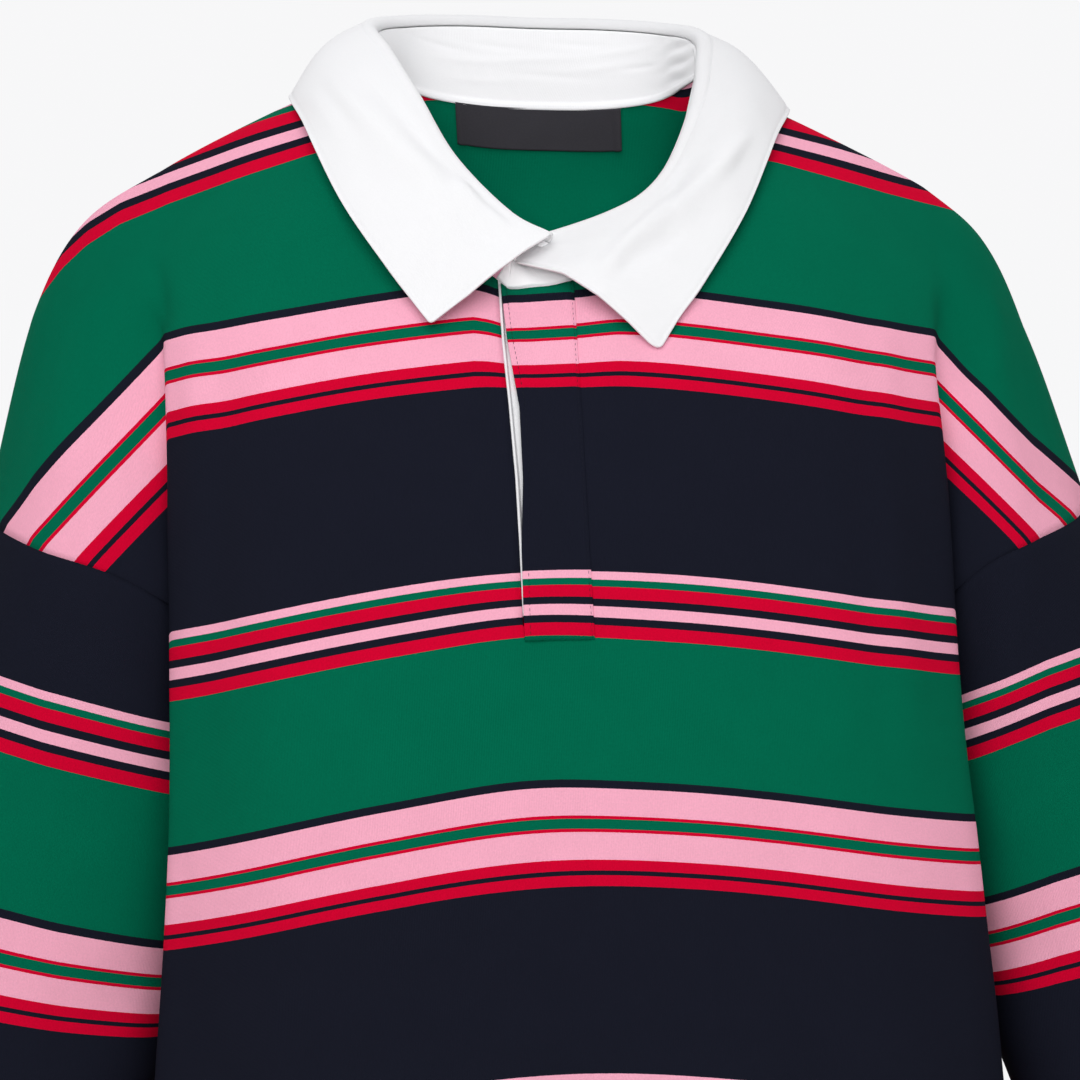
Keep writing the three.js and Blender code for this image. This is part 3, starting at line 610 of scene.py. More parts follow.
def mottled(tree, colour, vector, amount):
    """A colour with the slight unevenness of dyed yarn: fine grain and wider clouds."""
    grain = fibre_noise(tree, vector, 900.0, 2.0)
    cloud = fibre_noise(tree, vector, 38.0, 4.0)
    fine = math_node(tree, "MULTIPLY", grain, 0.65)
    wide = math_node(tree, "MULTIPLY", cloud, 0.35)
    shade = add_node(tree, "ShaderNodeMapRange", {
        "Value": math_node(tree, "ADD", fine, wide),
        "From Min": 0.3, "From Max": 0.7, "To Min": 1 - amount, "To Max": 1 + amount,
    }).outputs[0]
    return add_node(tree, "ShaderNodeVectorMath", {0: colour, "Scale": shade}, operation="SCALE").outputs[0]


def bump_to(tree, shader, height, distance, strength=1.0):
    """Raises the surface by a height, over a distance in metres."""
    bump = add_node(tree, "ShaderNodeBump", {"Height": height, "Distance": distance, "Strength": strength})
    tree.links.new(bump.outputs["Normal"], shader.inputs["Normal"])


def striped_jersey():
    """Cotton jersey knitted in stripes: the level down the cut picks the yarn's colour."""
    material, tree, shader = new_material("striped jersey", 0.9)
    vector, across, down = cut_coordinates(tree)
    uneven = math_node(tree, "SUBTRACT", fibre_noise(tree, vector, 420.0, 1.0), 0.5)
    wander = math_node(tree, "MULTIPLY", uneven, STRIPE_WANDER)
    level = math_node(tree, "SUBTRACT", math_node(tree, "ADD", down, wander), GREEN_TOP * MM)
    share = math_node(tree, "FRACT", math_node(tree, "DIVIDE", level, REPEAT * MM))
    colour = plain_colour(tree, STRIPES[0][0])
    start = STRIPES[0][1]
    for name, width in STRIPES[1:]:
        past = math_node(tree, "GREATER_THAN", share, start / REPEAT)
        colour = add_node(
            tree, "ShaderNodeMix", {0: past, 6: colour, 7: linear(COLOURS[name])}, data_type="RGBA",
        ).outputs[2]
        start += width
    tree.links.new(mottled(tree, colour, vector, 0.07), shader.inputs["Base Color"])
    bump_to(tree, shader, knit_height(tree, across, down), 0.00006)
    return material


def plain_jersey():
    """The same navy jersey without stripes, for the cuffs."""
    material, tree, shader = new_material("navy jersey", 0.9)
    vector, across, down = cut_coordinates(tree)
    colour = plain_colour(tree, "navy")
    tree.links.new(mottled(tree, colour, vector, 0.08), shader.inputs["Base Color"])
    bump_to(tree, shader, knit_height(tree, across, down, 0.0016, 0.0009), 0.00012)
    return material


def white_twill():
    """Soft white cotton twill of the collar: very fine diagonal ribs."""
    material, tree, shader = new_material("white twill", 0.85)
    vector, across, down = cut_coordinates(tree)
    diagonal = math_node(tree, "ADD", across, math_node(tree, "MULTIPLY", down, 0.6))
    rib = math_node(tree, "SINE", math_node(tree, "MULTIPLY", diagonal, 2 * math.pi / 0.0009))
    colour = plain_colour(tree, "white")
    tree.links.new(mottled(tree, colour, vector, 0.012), shader.inputs["Base Color"])
    height = math_node(tree, "ADD", math_node(tree, "MULTIPLY", rib, 0.5), fibre_noise(tree, vector, 1400.0))
    bump_to(tree, shader, height, 0.00004)
    return material


def label_satin():
    """Black woven label with fine crosswise ribs."""
    material, tree, shader = new_material("label satin", 0.55, 0.05)
    vector, across, down = cut_coordinates(tree)
    rib = math_node(tree, "SINE", math_node(tree, "MULTIPLY", down, 2 * math.pi / 0.0006))
    colour = plain_colour(tree, "label")
    tree.links.new(mottled(tree, colour, vector, 0.1), shader.inputs["Base Color"])
    bump_to(tree, shader, rib, 0.00005)
    return material


def thread(name, colour):
    """Spun sewing thread, slightly glossy, with a fine twist."""
    material, tree, shader = new_material(name, 0.6, 0.1)
    place = add_node(tree, "ShaderNodeTexCoord").outputs["Object"]
    base = plain_colour(tree, colour)
    tree.links.new(mottled(tree, base, place, 0.1), shader.inputs["Base Color"])
    bump_to(tree, shader, fibre_noise(tree, place, 2500.0), 0.00005)
    return material


def floor_paint():
    """Pale matt studio floor with a trace of unevenness."""
    material, tree, shader = new_material("pale floor", 0.9)
    place = add_node(tree, "ShaderNodeTexCoord").outputs["Object"]
    base = plain_colour(tree, "floor")
    tree.links.new(mottled(tree, base, place, 0.01), shader.inputs["Base Color"])
    return material


JERSEY = striped_jersey()
NAVY = plain_jersey()
WHITE = white_twill()
LABEL = label_satin()
NAVY_THREAD = thread("navy thread", "navy")


# Front and back panels

def spaced(stops, counts):
    """Values between stops, with counts steps in each span."""
    parts = [np.linspace(a, b, n + 1)[:-1] for a, b, n in zip(stops[:-1], stops[1:], counts)]
    return np.concatenate([*parts, [stops[-1]]])


HALF = spaced([0, 3, 4, 5, 6, 7, 8], [26, 18, 22, 16, 16, 14])
DOWN = spaced([0, 1, 2, 3, 4, 5, 6, 7, 8, 9], [16, 14, 14, 14, 18, 22, 18, 18, 18])
FRONT_STATIONS = np.unique(np.concatenate([-HALF, HALF, [SLIT_LEFT, SLIT_RIGHT]]))
BACK_STATIONS = np.unique(np.concatenate([-HALF, HALF]))


def edge_distance(grid):
    """Distance of each point from the armhole and the side seam, along its row."""
    run = run_lengths(grid, 1)
    return np.minimum(run, run[:, -1:] - run)


def panel_surface(panel, stations, sections, folds, facing, plain):
    """The panel as worn: its form, then its folds and its turned-in seams along the outward direction."""
    posed = stance(plain)
    outward = normals_of(posed, facing)
    height = fold_relief(posed, folds) + slow_waves(posed, 0.7)
    edge = edge_distance(posed)
    top = run_lengths(posed, 0)
    over_shoulder = np.abs(stations)[None, :] >= HIGH_POINT
    calm = ease(edge, 0, 22) * ease(top, 0, 18)
    height = height * calm
    height += seam_tuck(edge, 1.1, 2.6)
    height += np.where(over_shoulder, seam_tuck(top, 0.9, 2.4), 0)
    return posed + outward * height[..., None]


def cut_uv(grid, level, centre_column):
    """Across and down the cut, in mm: the distance from the centre line, and the stripe level."""
    run = run_lengths(grid, 1)
    return np.stack([run - run[:, centre_column : centre_column + 1], level], -1)


front_plain = panel_slanted(FRONT, FRONT_STATIONS, DOWN)
front_points = panel_surface(FRONT, FRONT_STATIONS, DOWN, FRONT_FOLDS, 1, front_plain)
front_q = front_level(front_plain, stance(front_plain), FRONT_STATIONS, DOWN)
slit_column = int(np.argmin(np.abs(FRONT_STATIONS - SLIT_LEFT)))
slit_columns = (FRONT_STATIONS[:-1] >= SLIT_LEFT - 1e-9) & (FRONT_STATIONS[1:] <= SLIT_RIGHT + 1e-9)
slit_open = slit_columns[None, :] & (DOWN[:-1] < SLIT_END)[:, None]
front = grid_mesh(
    "front_cloth", front_points, JERSEY,
    cut_uv(front_points, front_q, int(np.argmin(np.abs(FRONT_STATIONS)))), omit=slit_open,
)
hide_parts("front_panel")

back_plain = panel_plain(BACK, BACK_STATIONS, DOWN)
back_points = panel_surface(BACK, BACK_STATIONS, DOWN, BACK_FOLDS, -1, back_plain)
back_q = back_level(back_plain, stance(back_plain), BACK_STATIONS, DOWN)
back = grid_mesh(
    "back_cloth", back_points, JERSEY,
    cut_uv(back_points, back_q, int(np.argmin(np.abs(BACK_STATIONS)))), facing=-1,
)
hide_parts("back_panel")


def hem_stitches(name, grid, facing):
    """Two rows of stitches that hold the turned hem, 22 and 25 mm above its edge."""
    outward = normals_of(grid, facing)
    above = run_lengths(grid, 0)[-1:] - run_lengths(grid, 0)
    for number, height in enumerate((22.0, 25.0)):
        row = np.array([
            [np.interp(-height, -above[:, j], grid[:, j, k]) for k in range(3)]
            for j in range(grid.shape[1])
        ])
        out = outward[-8]
        piece_name = "%s_hem_stitches_%d" % (name, number + 1)
        stitch_row(piece_name, row + out * 0.55, out, NAVY_THREAD, 2.2, 0.8, 0.3, 0.1)


hem_stitches("front", front_points, 1)
hem_stitches("back", back_points, -1)


# Placket

def on_surface(grid, stations, sections, s, v):
    """Points, or levels, between the points of a panel's grid. s and v are arrays of one shape."""
    j = np.clip(np.searchsorted(stations, s, side="right") - 1, 0, len(stations) - 2)
    i = np.clip(np.searchsorted(sections, v, side="right") - 1, 0, len(sections) - 2)
    aside = (s - stations[j]) / (stations[j + 1] - stations[j])
    below = (v - sections[i]) / (sections[i + 1] - sections[i])
    if grid.ndim == 3:
        aside, below = aside[..., None], below[..., None]
    top = mix(grid[i, j], grid[i, j + 1], aside)
    low = mix(grid[i + 1, j], grid[i + 1, j + 1], aside)
    return mix(top, low, below)


def placket_strip():
    """The lap: a folded strip whose free edge lies over the slit, pressed flat along two stitch rows."""
    down = spaced([0.02, PLACKET_END], [110])
    lap = np.interp(down, OPENING[:, 0], OPENING[:, 2]) - np.interp(down, OPENING[:, 0], OPENING[:, 1])
    share = spaced([0, 0.1, 0.9, 1], [6, 18, 6])
    s = mix((SLIT_LEFT + lap)[:, None], PLACKET_RIGHT, share[None, :])
    v = np.broadcast_to(down[:, None], s.shape)
    base = on_surface(front_points, FRONT_STATIONS, DOWN, s, v)
    out = normals_of(base)
    run = run_lengths(base, 1)
    width = run[:, -1:]
    from_end = (run_lengths(base, 0)[-1:] - run_lengths(base, 0))
    free = np.minimum(run, from_end + 1.0)
    sewn = width - run
    lift = 1.05 + 0.45 * (1 - ease(run, 4, 14)) + 0.25 * ease(np.minimum(run, sewn), 0, 4)
    lift -= 0.55 * (1 - ease(np.minimum(sewn, from_end), 0, 2.2))
    lift += seam_tuck(run - 3.2, 0.22, 0.6) + seam_tuck(sewn - 1.2, 0.2, 0.6)
    lift += seam_tuck(from_end - 10, 0.2, 0.6) * ease(free, 0, 2)
    lift += 0.16 * np.sin(run_lengths(base, 0) * 0.11 + 0.7) * ease(np.minimum(run, sewn), 0, 5)
    points = base + out * lift[..., None]
    level = chest_level(on_surface(stance(front_plain), FRONT_STATIONS, DOWN, s, v))
    level = level - stripe_sag(PLACKET_SAG, s, v) + 0.8
    piece = grid_mesh("placket_strip", points, JERSEY, np.stack([run, level], -1), thickness=1.2)
    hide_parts("placket")
    surface = points + out * 0.62
    for name, place in (("free_edge", np.full(len(down), 3.2)), ("sewn_edge", width[:, 0] - 1.2)):
        row = np.array([
            [np.interp(place[i], run[i], surface[i, :, k]) for k in range(3)]
            for i in range(len(down))
        ])
        stitch_row("placket_stitches_" + name, row, out[:, 12], NAVY_THREAD, 2.0, 0.9, 0.22, 0.08)
    low = int(np.argmin(np.abs(from_end[:, 12] - 10)))
    stitch_row("placket_stitches_end", surface[low, 1:-1], out[low, 1:-1], NAVY_THREAD, 2.0, 0.9, 0.22, 0.08)


def placket_tape():
    """White tape under the slit. Its rolled edge stands beside the slit's edge as a thin bead."""
    down = spaced([0.04, TAPE_END], [110])
    across = spaced([TAPE_LEFT, -0.625, -0.54, -0.44, TAPE_RIGHT], [6, 22, 8, 18])
    s, v = np.meshgrid(across, down)
    base = on_surface(front_points, FRONT_STATIONS, DOWN, s, v)
    bead = np.exp(-(((across + 0.578) / 0.019) ** 2))
    lift = -2.4 + 3.0 * bead[None, :] + 0.12 * np.sin(run_lengths(base, 0) * 0.35)
    points = base + normals_of(base) * lift[..., None]
    uv = np.stack([run_lengths(points, 1), run_lengths(points, 0)], -1)
    piece = grid_mesh("under_placket_tape", points, WHITE, uv, thickness=0.8)
    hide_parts("under_placket")


placket_strip()
placket_tape()


# Sleeves and cuffs

def oval(section, around, extra=None):
    """A ring of the arm. 0 is outside, a quarter is in front, a half is the underarm."""
    _, cx, cy, cz, half_width, half_depth, lean, pitch = section
    grow = 0 if extra is None else extra
    angle = around * 2 * np.pi
    lean, pitch = math.radians(lean), math.radians(pitch)
    out = (half_width + grow) * np.cos(angle)
    forward = (half_depth + grow) * np.sin(angle)
    return np.stack([
        cx + out * math.cos(lean),
        cy - forward * math.cos(pitch),
        cz + out * math.sin(lean) - forward * math.sin(pitch),
    ], -1)


def armhole(around):
    """The ring of the armhole: down the front panel's edge and up the back panel's."""
    front_edge = panel_plain(FRONT, np.array([float(EDGE)]), np.clip(around, 0, 0.5) * 2 * UNDERARM)[:, 0]
    back_edge = panel_plain(BACK, np.array([float(EDGE)]), np.clip(1 - around, 0, 0.5) * 2 * UNDERARM)[:, 0]
    ring = np.where((around <= 0.5)[:, None], front_edge, back_edge)
    under = 1 - ramp(np.abs(around - 0.5), 0.06, 0.16)
    ring[:, 0] += UNDERARM_STEP * under
    return ring


# Creases round a sleeve.
# Columns: place round the arm, distance down, slant, width round, width down, height.
SLEEVE_FOLDS = [
    (0.30, 40, 0.0010, 0.045, 46, 2.6), (0.40, 92, -0.0006, 0.05, 52, 2.8), (0.22, 150, 0.0008, 0.05, 48, -2.0),
    (0.42, 178, 0.0004, 0.06, 30, 3.2), (0.33, 214, -0.0012, 0.07, 26, -2.8), (0.44, 240, 0.0008, 0.06, 26, 2.8),
    (0.60, 70, 0.0008, 0.05, 52, 2.6), (0.68, 140, -0.0006, 0.05, 50, -2.4), (0.58, 205, 0.001, 0.06, 32, 2.8),
    (0.85, 120, 0.0004, 0.06, 70, -1.6), (0.10, 250, 0.0006, 0.05, 60, 1.6), (0.30, 300, -0.001, 0.05, 36, 2.4),
    (0.55, 320, 0.0008, 0.05, 40, -2.2), (0.80, 300, 0.0006, 0.05, 50, 2.0),
]


def sleeve_relief(around, distance):
    """Soft oblique folds and, at the cuff, gathers that fade up the arm."""
    height = np.zeros(np.broadcast(around, distance).shape)
    for number, (a0, d0, slant, wide, long, peak) in enumerate(SLEEVE_FOLDS):
        aside = around - a0 - slant * (distance - d0)
        aside = (aside + 0.5) % 1 - 0.5
        height += peak * np.exp(-((aside / wide) ** 2) - ((distance - d0) / long) ** 2)
    turn = around * 2 * np.pi
    gathers = np.sin(turn * 13 + 0.8 * np.sin(turn * 3)) * (0.7 + 0.3 * np.sin(around * 17))
    height += 1.7 * gathers * ease(distance, 330, 415) * (1 - 0.5 * ease(distance, 415, 428))
    return height


AROUND = np.arange(150) / 150
RINGS = spaced([0, 1, 2, 3, 4, 5, 6, 7], [22, 20, 20, 20, 20, 22, 14])
RING_DISTANCE = np.interp(RINGS, np.arange(8), [0, *SLEEVE[:, 0]])


def sleeve_rings(around):
    """The armhole and the sleeve's own rings, from the top down."""
    return np.stack([armhole(around), *[oval(section, around) for section in SLEEVE]])


def add_sleeve(side, name):
    """A sleeve, 1 for the wearer's left: rings from the armhole to the cuff, with soft folds."""
    mirror = np.array([side, 1, 1])
    plain = curve_at(sleeve_rings(AROUND), RINGS)
    posed = stance(plain * mirror)
    facing = -side
    outward = normals_of(posed, facing, closed=True)
    distance = RING_DISTANCE[:, None]
    shifted = (AROUND[None, :] + (0.03 if side > 0 else 0.0)) % 1
    height = sleeve_relief(shifted, distance) * ease(distance, 0, 26)
    beside_body = 1 - ease(np.abs(AROUND - 0.5), 0.05, 0.16)
    height = np.where(height > 0, height * (1 - beside_body[None, :] * (1 - ease(distance, 190, 260))), height)
    height += seam_tuck(distance, 1.1, 2.6) + seam_tuck(428 - distance, 1.0, 3.0)
    points = posed + outward * height[..., None]
    run = run_lengths(np.concatenate([posed, posed[:, :1]], 1), 1)[:, :-1]
    lifted = np.interp(distance, SLEEVE_LIFT[side][:, 0], SLEEVE_LIFT[side][:, 1])
    level = distance + lifted - SLEEVE_NAVY + GREEN_TOP + NAVY_END
    uv = np.stack([run, np.broadcast_to(level, run.shape)], -1)
    piece = grid_mesh("sleeve_cloth_" + name, points, JERSEY, uv, closed=True, facing=facing)
    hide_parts("sleeve_" + name)
    add_cuff(side, name)


def add_cuff(side, name):
    """A double jersey cuff with a sewn end and a soft swell."""
    last = SLEEVE[-1]
    lean, pitch = math.radians(CUFF["lean"]), math.radians(CUFF["pitch"])
    along = np.array([math.sin(lean), -math.sin(pitch), -math.cos(lean) * math.cos(pitch)])
    downs = spaced([0.4, 6, 30, 60, CUFF_LENGTH], [6, 14, 16, 5])
    rings = []
    for down in downs:
        fit = float(ramp(down, 0, 6))
        width, depth = mix(last[4], CUFF["width"], fit), mix(last[5], CUFF["depth"], fit)
        section = [0, *(last[1:4] + along * down), width, depth, CUFF["lean"], CUFF["pitch"]]
        swell = 0.6 * math.sin(math.pi * down / CUFF_LENGTH)
        swell -= 0.5 * math.exp(-(((down - CUFF_LENGTH) / 2.0) ** 2))
        swell -= 0.8 * math.exp(-((down / 2.5) ** 2))
        rings.append(oval(section, AROUND, swell))
    posed = stance(np.stack(rings) * np.array([side, 1, 1]))
    outward = normals_of(posed, -side, closed=True)
    wrinkle = 0.45 * np.sin(AROUND * 2 * np.pi * 5 + 1.0)[None, :] * np.exp(-((downs[:, None] - 18) / 22) ** 2)
    posed = posed + outward * wrinkle[..., None]
    run = run_lengths(np.concatenate([posed, posed[:, :1]], 1), 1)[:, :-1]
    uv = np.stack([run, np.broadcast_to(downs[:, None], run.shape)], -1)
    piece = grid_mesh("cuff_cloth_" + name, posed, NAVY, uv, closed=True, facing=-side, thickness=1.6)
    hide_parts("cuff_" + name)
    closed = np.concatenate([posed, posed[:, :1]], 1)
    out = np.concatenate([outward, outward[:, :1]], 1)
    edge = int(np.argmin(np.abs(downs - (CUFF_LENGTH - 6))))
    row = closed[edge] + out[edge] * 0.85
    stitch_row("cuff_stitches_" + name, row, out[edge], NAVY_THREAD, 2.2, 0.8, 0.3, 0.1)


add_sleeve(1, "left")
add_sleeve(-1, "right")


# Collar

def front_feet(side):
    """Stations where the collar's front sections meet the neck seam."""
    return np.concatenate([[HIGH_POINT], COLLAR_FRONT[side][:, 6]])


def neckline(at, side):
    """The neck seam from the centre back to the front end, in the collar's own sections.
    Past the end, on the wearer's left, it runs on to the slit. x runs outward."""
    back_part = panel_plain(BACK, np.clip(at / COLLAR_SHOULDER, 0, 1) * HIGH_POINT, np.array([0.0]))[0]
    ahead = np.clip(at, COLLAR_SHOULDER, COLLAR_END) - COLLAR_SHOULDER
    station = curve_at(front_feet(side)[:, None], ahead)[:, 0]
    station = station + TAB_FOOT * np.maximum(at - COLLAR_END, 0)
    order = np.argsort(station * side)
    front_part = np.empty_like(back_part)
    front_part[order] = panel_slanted(FRONT, (station * side)[order], np.array([0.0]))[0]
    front_part[:, 0] *= side
    return np.where((at <= COLLAR_SHOULDER)[:, None], back_part, front_part)


def unit(v):
    """The same directions at length 1."""
    return v / np.maximum(np.linalg.norm(v, axis=-1, keepdims=True), 1e-9)


def without(v, along):
    """The part of v that is square to along."""
    return v - (v * along).sum(-1, keepdims=True) * along


def collar_line(at, side, columns):
    """Points of the fold or of the free edge, from the centre back to the front end."""
    rows = np.concatenate([COLLAR_BACK[:, columns], COLLAR_FRONT[side][:, columns]])
    return curve_at(rows, at, flipped(rows[1]))


def collar_frame(at, side):
    """The fold line, the free edge, the neck seam, and the roll's directions up and out."""
    at = np.minimum(at, COLLAR_END)
    fold = collar_line(at, side, slice(0, 3))
    edge = collar_line(at, side, slice(3, 6))
    foot = neckline(at, side)
    ahead = collar_line(np.minimum(at + 0.02, COLLAR_END), side, slice(0, 3))
    behind = collar_line(np.maximum(at - 0.02, 0), side, slice(0, 3))
    along = unit(ahead - behind)
    from_edge = unit(without(fold - edge, along))
    up = unit(from_edge + unit(without(fold - foot, along)))
    out = unit(without(-from_edge, up))
    return fold, edge, up, out


def fall_surface(at, across, side):
    """The fall from the inside of the roll, 0, over its top, 1, to the free edge, 2.
    at and across are lists of one length. x runs outward."""
    fold, edge, up, out = collar_frame(at, side)
    middle = fold - up * ROLL_RADIUS
    angle = (np.pi * (1 - np.minimum(across, 1) * 0.9))[:, None]
    roll = middle + out * ROLL_RADIUS * np.cos(angle) + up * ROLL_RADIUS * np.sin(angle)
    t = np.maximum(across - 1, 0)[:, None]
    bulge = 7 * np.sin(np.pi * t) * (1 - 0.4 * t)
    points = mix(roll, edge, t) + out * bulge * 0.8 + up * bulge * 0.6
    moves = TONGUE if side > 0 else PROUD
    near_end = ease(at, COLLAR_END - TONGUE_LENGTH, COLLAR_END)[:, None]
    move = np.stack([np.interp(across, moves[:, 0], moves[:, k]) for k in (1, 2, 3)], -1)
    return points + move * near_end


def stand_surface(at, across, side):
    """The stand from the neck seam, 0, to the inside of the roll, 1. Below 0 it laps over the seam."""
    within = np.minimum(at, COLLAR_END)
    beyond = np.maximum(at - COLLAR_END, 0)[:, None]
    _, _, up, _ = collar_frame(within, side)
    top = mix(fall_surface(within, np.zeros(len(at)), side), TAB_HEAD, beyond)
    longest = COLLAR_END + 1 if side > 0 else COLLAR_END
    foot = neckline(at, side)
    seam = unit(neckline(np.minimum(at + 0.1, longest), side) - neckline(np.maximum(at - 0.1, 0), side))
    rise = unit(without(top - foot, seam))
    low = foot + rise * STAND_FOOT
    high = top - up * 0.6
    lap = np.minimum(across, 0)[:, None]
    return mix(low, high, np.maximum(across, 0)[:, None]) + rise * lap


def both_sides(signed, across, surface):
    """Points of a collar surface before the stance. signed is negative on the wearer's right."""
    flat_s, flat_c = signed.ravel(), across.ravel()
    points = np.empty((len(flat_s), 3))
    for side in (-1, 1):
        own = (flat_s < 0) if side < 0 else (flat_s >= 0)
        points[own] = surface(np.abs(flat_s[own]), flat_c[own], side) * np.array([side, 1, 1])
    return points.reshape(*signed.shape, 3)


def rounded_tips(signed, across):
    """Draws each corner of the fall in to a round tip: the corner's square becomes a disc."""
    radius = np.where(signed < 0, TIP_RADIUS[-1], TIP_RADIUS[1])
    along, wide = radius / 20, radius / 70
    p = np.clip(1 - (COLLAR_END - np.abs(signed)) / along, 0, 1)
    q = np.clip(1 - (2 - across) / wide, 0, 1)
    moved = np.abs(signed) + along * (p * np.sqrt(1 - q**2 / 2) - p)
    return np.copysign(moved, signed), across + wide * (q * np.sqrt(1 - p**2 / 2) - q)


# Soft creases of the fall. Columns: x and z of the top end, x and z of the low end, width, height.
FALL_CREASES = [
    (108, -38, 62, -85, 4.8, -3.6), (66, -80, 32, -113, 3.8, -3.3), (99, -34, 57, -80, 5, 2.1),
    (68, -74, 39, -99, 3.2, -2.6), (74, -86, 44, -108, 5, 1.9), (96, -70, 72, -104, 9, 1.6),
    (-107, -4, -48, -70, 7, -3.4), (-14, -88, -40, -62, 5.5, -3.8), (-92, -6, -40, -62, 5, 1.9),
    (-42, -84, -12, -99, 6, 2.2), (-96, -40, -66, -86, 10, 1.6), (-120, -10, -90, -60, 7, -1.6),
]


def add_fall():
    """The fall: its form, creases, a soft edge turned round its seam, and two round tips."""
    signed = spaced([-8, -7.8, -3, 3, 7.8, 8], [10, 110, 110, 110, 14])
    across = spaced([0, 1, 1.92, 2], [14, 46, 10])
    s, c = rounded_tips(*np.meshgrid(signed, across))
    posed = stance(both_sides(s, c, fall_surface))
    in_front = 1 - ease(posed[..., 1], -14, 20)
    height = fold_relief(posed, FALL_CREASES) * in_front * ease(c, 1.02, 1.15)
    height += 0.5 * np.sin(s * 2.4 + c * 3) * np.sin(c * 4.1 + s) * ease(c, 1, 1.3)
    run = run_lengths(posed, 0)
    rest = run[-1:] - run
    ends = run_lengths(posed, 1)
    edge = np.minimum(rest, np.minimum(ends, ends[:, -1:] - ends))
    height += 0.35 * np.exp(-(((edge - 2.4) / 1.6) ** 2)) * ease(c, 1.0, 1.1)
    points = posed + normals_of(posed) * height[..., None]
    uv = np.stack([ends, run], -1)
    piece = grid_mesh("collar_fall_cloth", points, WHITE, uv, thickness=1.5)
    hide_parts("collar_fall")


# Short creases inside the back stand. Columns: x, height above the seam, half length, width, depth.
STAND_CREASES = [
    (-52, 30, 16, 1.6, -0.35), (-38, 24, 20, 1.8, 0.3), (-20, 33, 18, 1.6, -0.3), (0, 27, 22, 1.8, 0.28),
    (22, 35, 16, 1.5, -0.3), (34, 22, 18, 1.8, 0.3), (8, 18, 24, 1.6, -0.25), (-30, 14, 20, 1.7, 0.25),
    (48, 30, 14, 1.5, 0.35), (56, 20, 10, 1.4, -0.4),
]


def stand_relief(posed, height_above):
    """Fine level creases inside the back stand, and a zigzag of gathers near the left shoulder."""
    x = posed[..., 0]
    relief = np.zeros_like(x)
    for x0, above, half, width, depth in STAND_CREASES:
        slope = 0.06 * (x - x0) * (1 if depth > 0 else -1)
        relief += depth * np.exp(-(((height_above - above - slope) / width) ** 2) - ((x - x0) / half) ** 2)
    gathers = np.sin(height_above * 0.75 + 0.5 * np.sin(x * 0.5)) * np.exp(-(((x - 78) / 9) ** 2))
    at_back = ease(posed[..., 1], -10, 25)
    return (relief + 0.7 * gathers) * at_back


def add_stand():
    """The stand: two layers of twill. Its foot laps over the panels' raw edge at the neck seam."""
    signed = spaced([-8, -3, 3, 8, 9], [100, 130, 100, 30])
    across = np.concatenate([np.linspace(1, 0, 34), [-0.6, -1.6, -2.9, -3.9]])
    s, c = np.meshgrid(signed, across)
    posed = stance(both_sides(s, c, stand_surface))
    out = normals_of(posed)
    out[34:] = out[33]
    lap = ease(-c, -0.2, 1.8) * 1.35
    above = (run_lengths(posed[::-1], 0)[::-1])
    relief = stand_relief(posed, above)
    points = posed + out * (lap + relief)[..., None]
    uv = np.stack([run_lengths(posed, 1), run_lengths(posed, 0)], -1)
    piece = grid_mesh("collar_stand_cloth", points, WHITE, uv, thickness=1.2)
    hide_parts("collar_stand")


add_fall()
add_stand()


def add_label():
    """The neck label: a bare woven strip with its ends folded under, a little askew."""
    across = np.linspace(-1.27, 1.27, 80)
    down = np.linspace(0.0, 0.5, 24)
    s, v = np.meshgrid(across, down)
    v = np.clip(v + 0.012 * s, 0, 9)
    base = on_surface(back_points, BACK_STATIONS, DOWN, s, v)
    inward = -normals_of(base, -1)
    run = run_lengths(base, 1)
    ends = np.minimum(run, run[:, -1:] - run)
    lift = 1.9 + 0.6 * (1 - ease(ends, 3.2, 4.6)) - 0.5 * (1 - ease(ends, 0, 0.8))
    lift += 0.3 * np.sin(run * 0.09)
    points = base + inward * lift[..., None]
    uv = np.stack([run, run_lengths(base, 0)], -1)
    piece = grid_mesh("neck_label_cloth", points, LABEL, uv, facing=1, thickness=0.7)
    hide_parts("neck_label")


add_label()


# Stage, light and camera

def soft_light(name, place, target, size, power):
    """A round softbox that faces its target."""
    data = bpy.data.lights.new(name, "AREA")
    data.shape = "DISK"
    data.size = size
    data.energy = power
    light = bpy.data.objects.new(name, data)
    light.location = place
    way = np.array(target) - np.array(place)
    light.rotation_mode = "QUATERNION"
    light.rotation_quaternion = Vector(way).to_track_quat("-Z", "Y")
    bpy.context.scene.collection.objects.link(light)
    return light


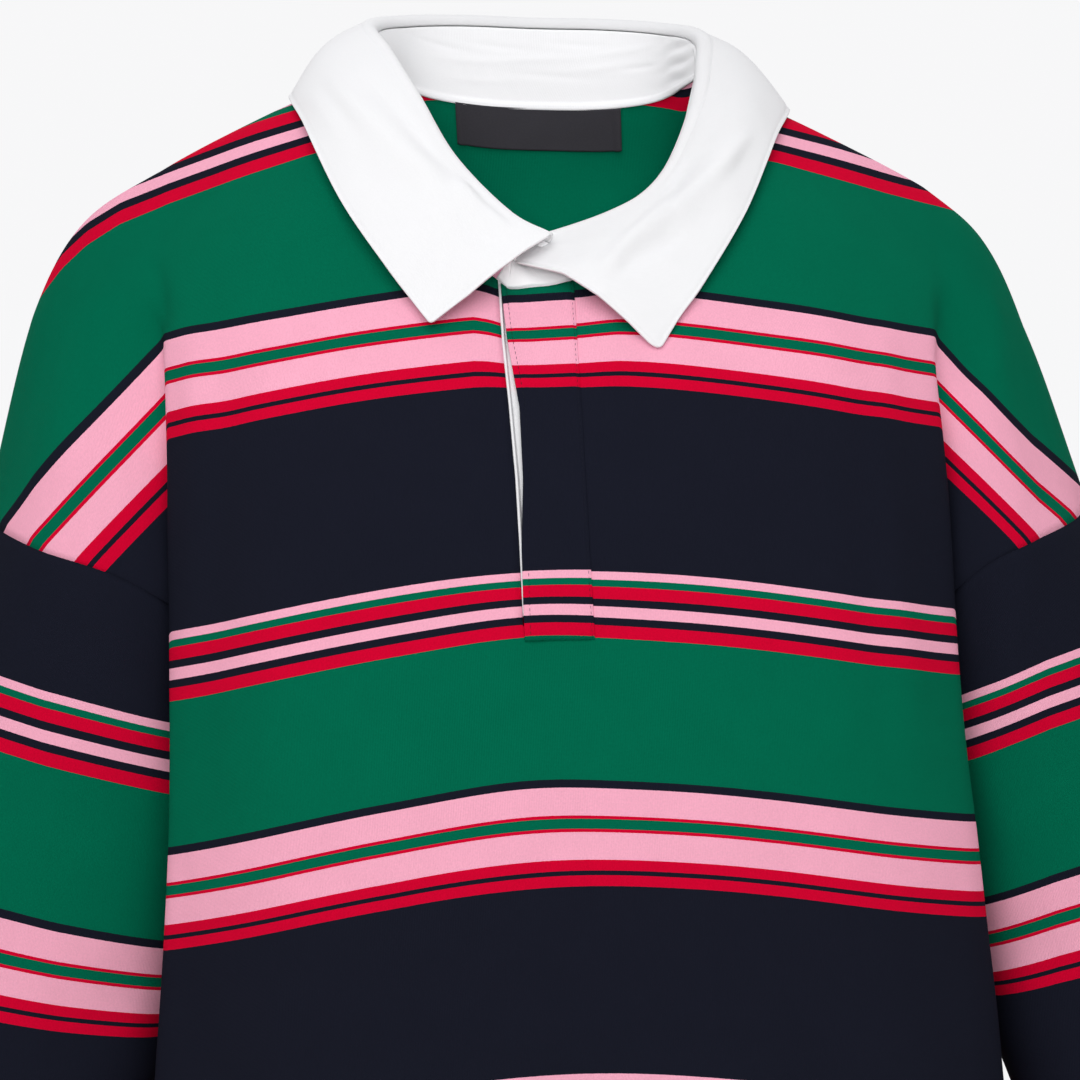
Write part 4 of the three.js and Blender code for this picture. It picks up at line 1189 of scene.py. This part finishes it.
def studio_world():
    """An even white backdrop behind the shirt, and in front of it a softbox that is brighter above."""
    world = bpy.data.worlds.new("studio")
    bpy.context.scene.world = world
    world.use_nodes = True
    tree = world.node_tree
    way = add_node(tree, "ShaderNodeTexCoord").outputs["Generated"]
    split = add_node(tree, "ShaderNodeSeparateXYZ", {0: way})
    front = add_node(tree, "ShaderNodeMapRange", {
        "Value": split.outputs["Y"], "From Min": 0.15, "From Max": -0.35, "To Min": 0.0, "To Max": 1.0,
    }, interpolation_type="SMOOTHSTEP").outputs[0]
    softbox = add_node(tree, "ShaderNodeMapRange", {
        "Value": split.outputs["Z"], "From Min": -0.8, "From Max": 0.8, "To Min": 0.03, "To Max": 0.36,
    }).outputs[0]
    strength = add_node(tree, "ShaderNodeMix", {0: front, 2: BACKDROP, 3: softbox}, data_type="FLOAT").outputs[0]
    background = tree.nodes["Background"]
    background.inputs["Color"].default_value = linear("#FEFEFF")
    tree.links.new(strength, background.inputs["Strength"])


BACKDROP = 0.94
studio_world()
soft_light("key", (-0.12, -1.45, 0.62), (0, 0, -0.15), 1.5, 19)


def reflector(name, power, pieces):
    """A small reflector at the neck's height that lights the inside of the neck alone."""
    light = soft_light(name, (0, -2.2, -0.05), (0, 0.1, -0.05), 0.5, power)
    receivers = bpy.data.collections.new(name)
    for piece in pieces:
        receivers.objects.link(bpy.data.objects[piece])
    light.light_linking.receiver_collection = receivers


reflector("neck reflector", 12, ["back_cloth", "collar_stand_cloth", "neck_label_cloth"])
reflector("inner back reflector", 10, ["back_cloth", "neck_label_cloth"])

floor_mesh = bpy.data.meshes.new("floor")
floor_corners = [(-3, -3.5, -0.81), (3, -3.5, -0.81), (3, 1.2, -0.81), (-3, 1.2, -0.81)]
floor_mesh.from_pydata(floor_corners, [], [(0, 1, 2, 3)])
floor_mesh.materials.append(floor_paint())
floor = bpy.data.objects.new("floor", floor_mesh)
bpy.context.scene.collection.objects.link(floor)

# The camera looks level along +Y, 2.4 m in front of the chest
camera_data = bpy.data.cameras.new("camera")
camera_data.lens = 160
camera_data.sensor_width = 36
camera_data.clip_end = 50
camera = bpy.data.objects.new("camera", camera_data)
camera.location = (0.0016, -2.52, -0.246)
camera.rotation_euler = (math.radians(90), 0, 0)
bpy.context.scene.collection.objects.link(camera)
bpy.context.scene.camera = camera
bpy.context.scene.view_settings.view_transform = "Standard"
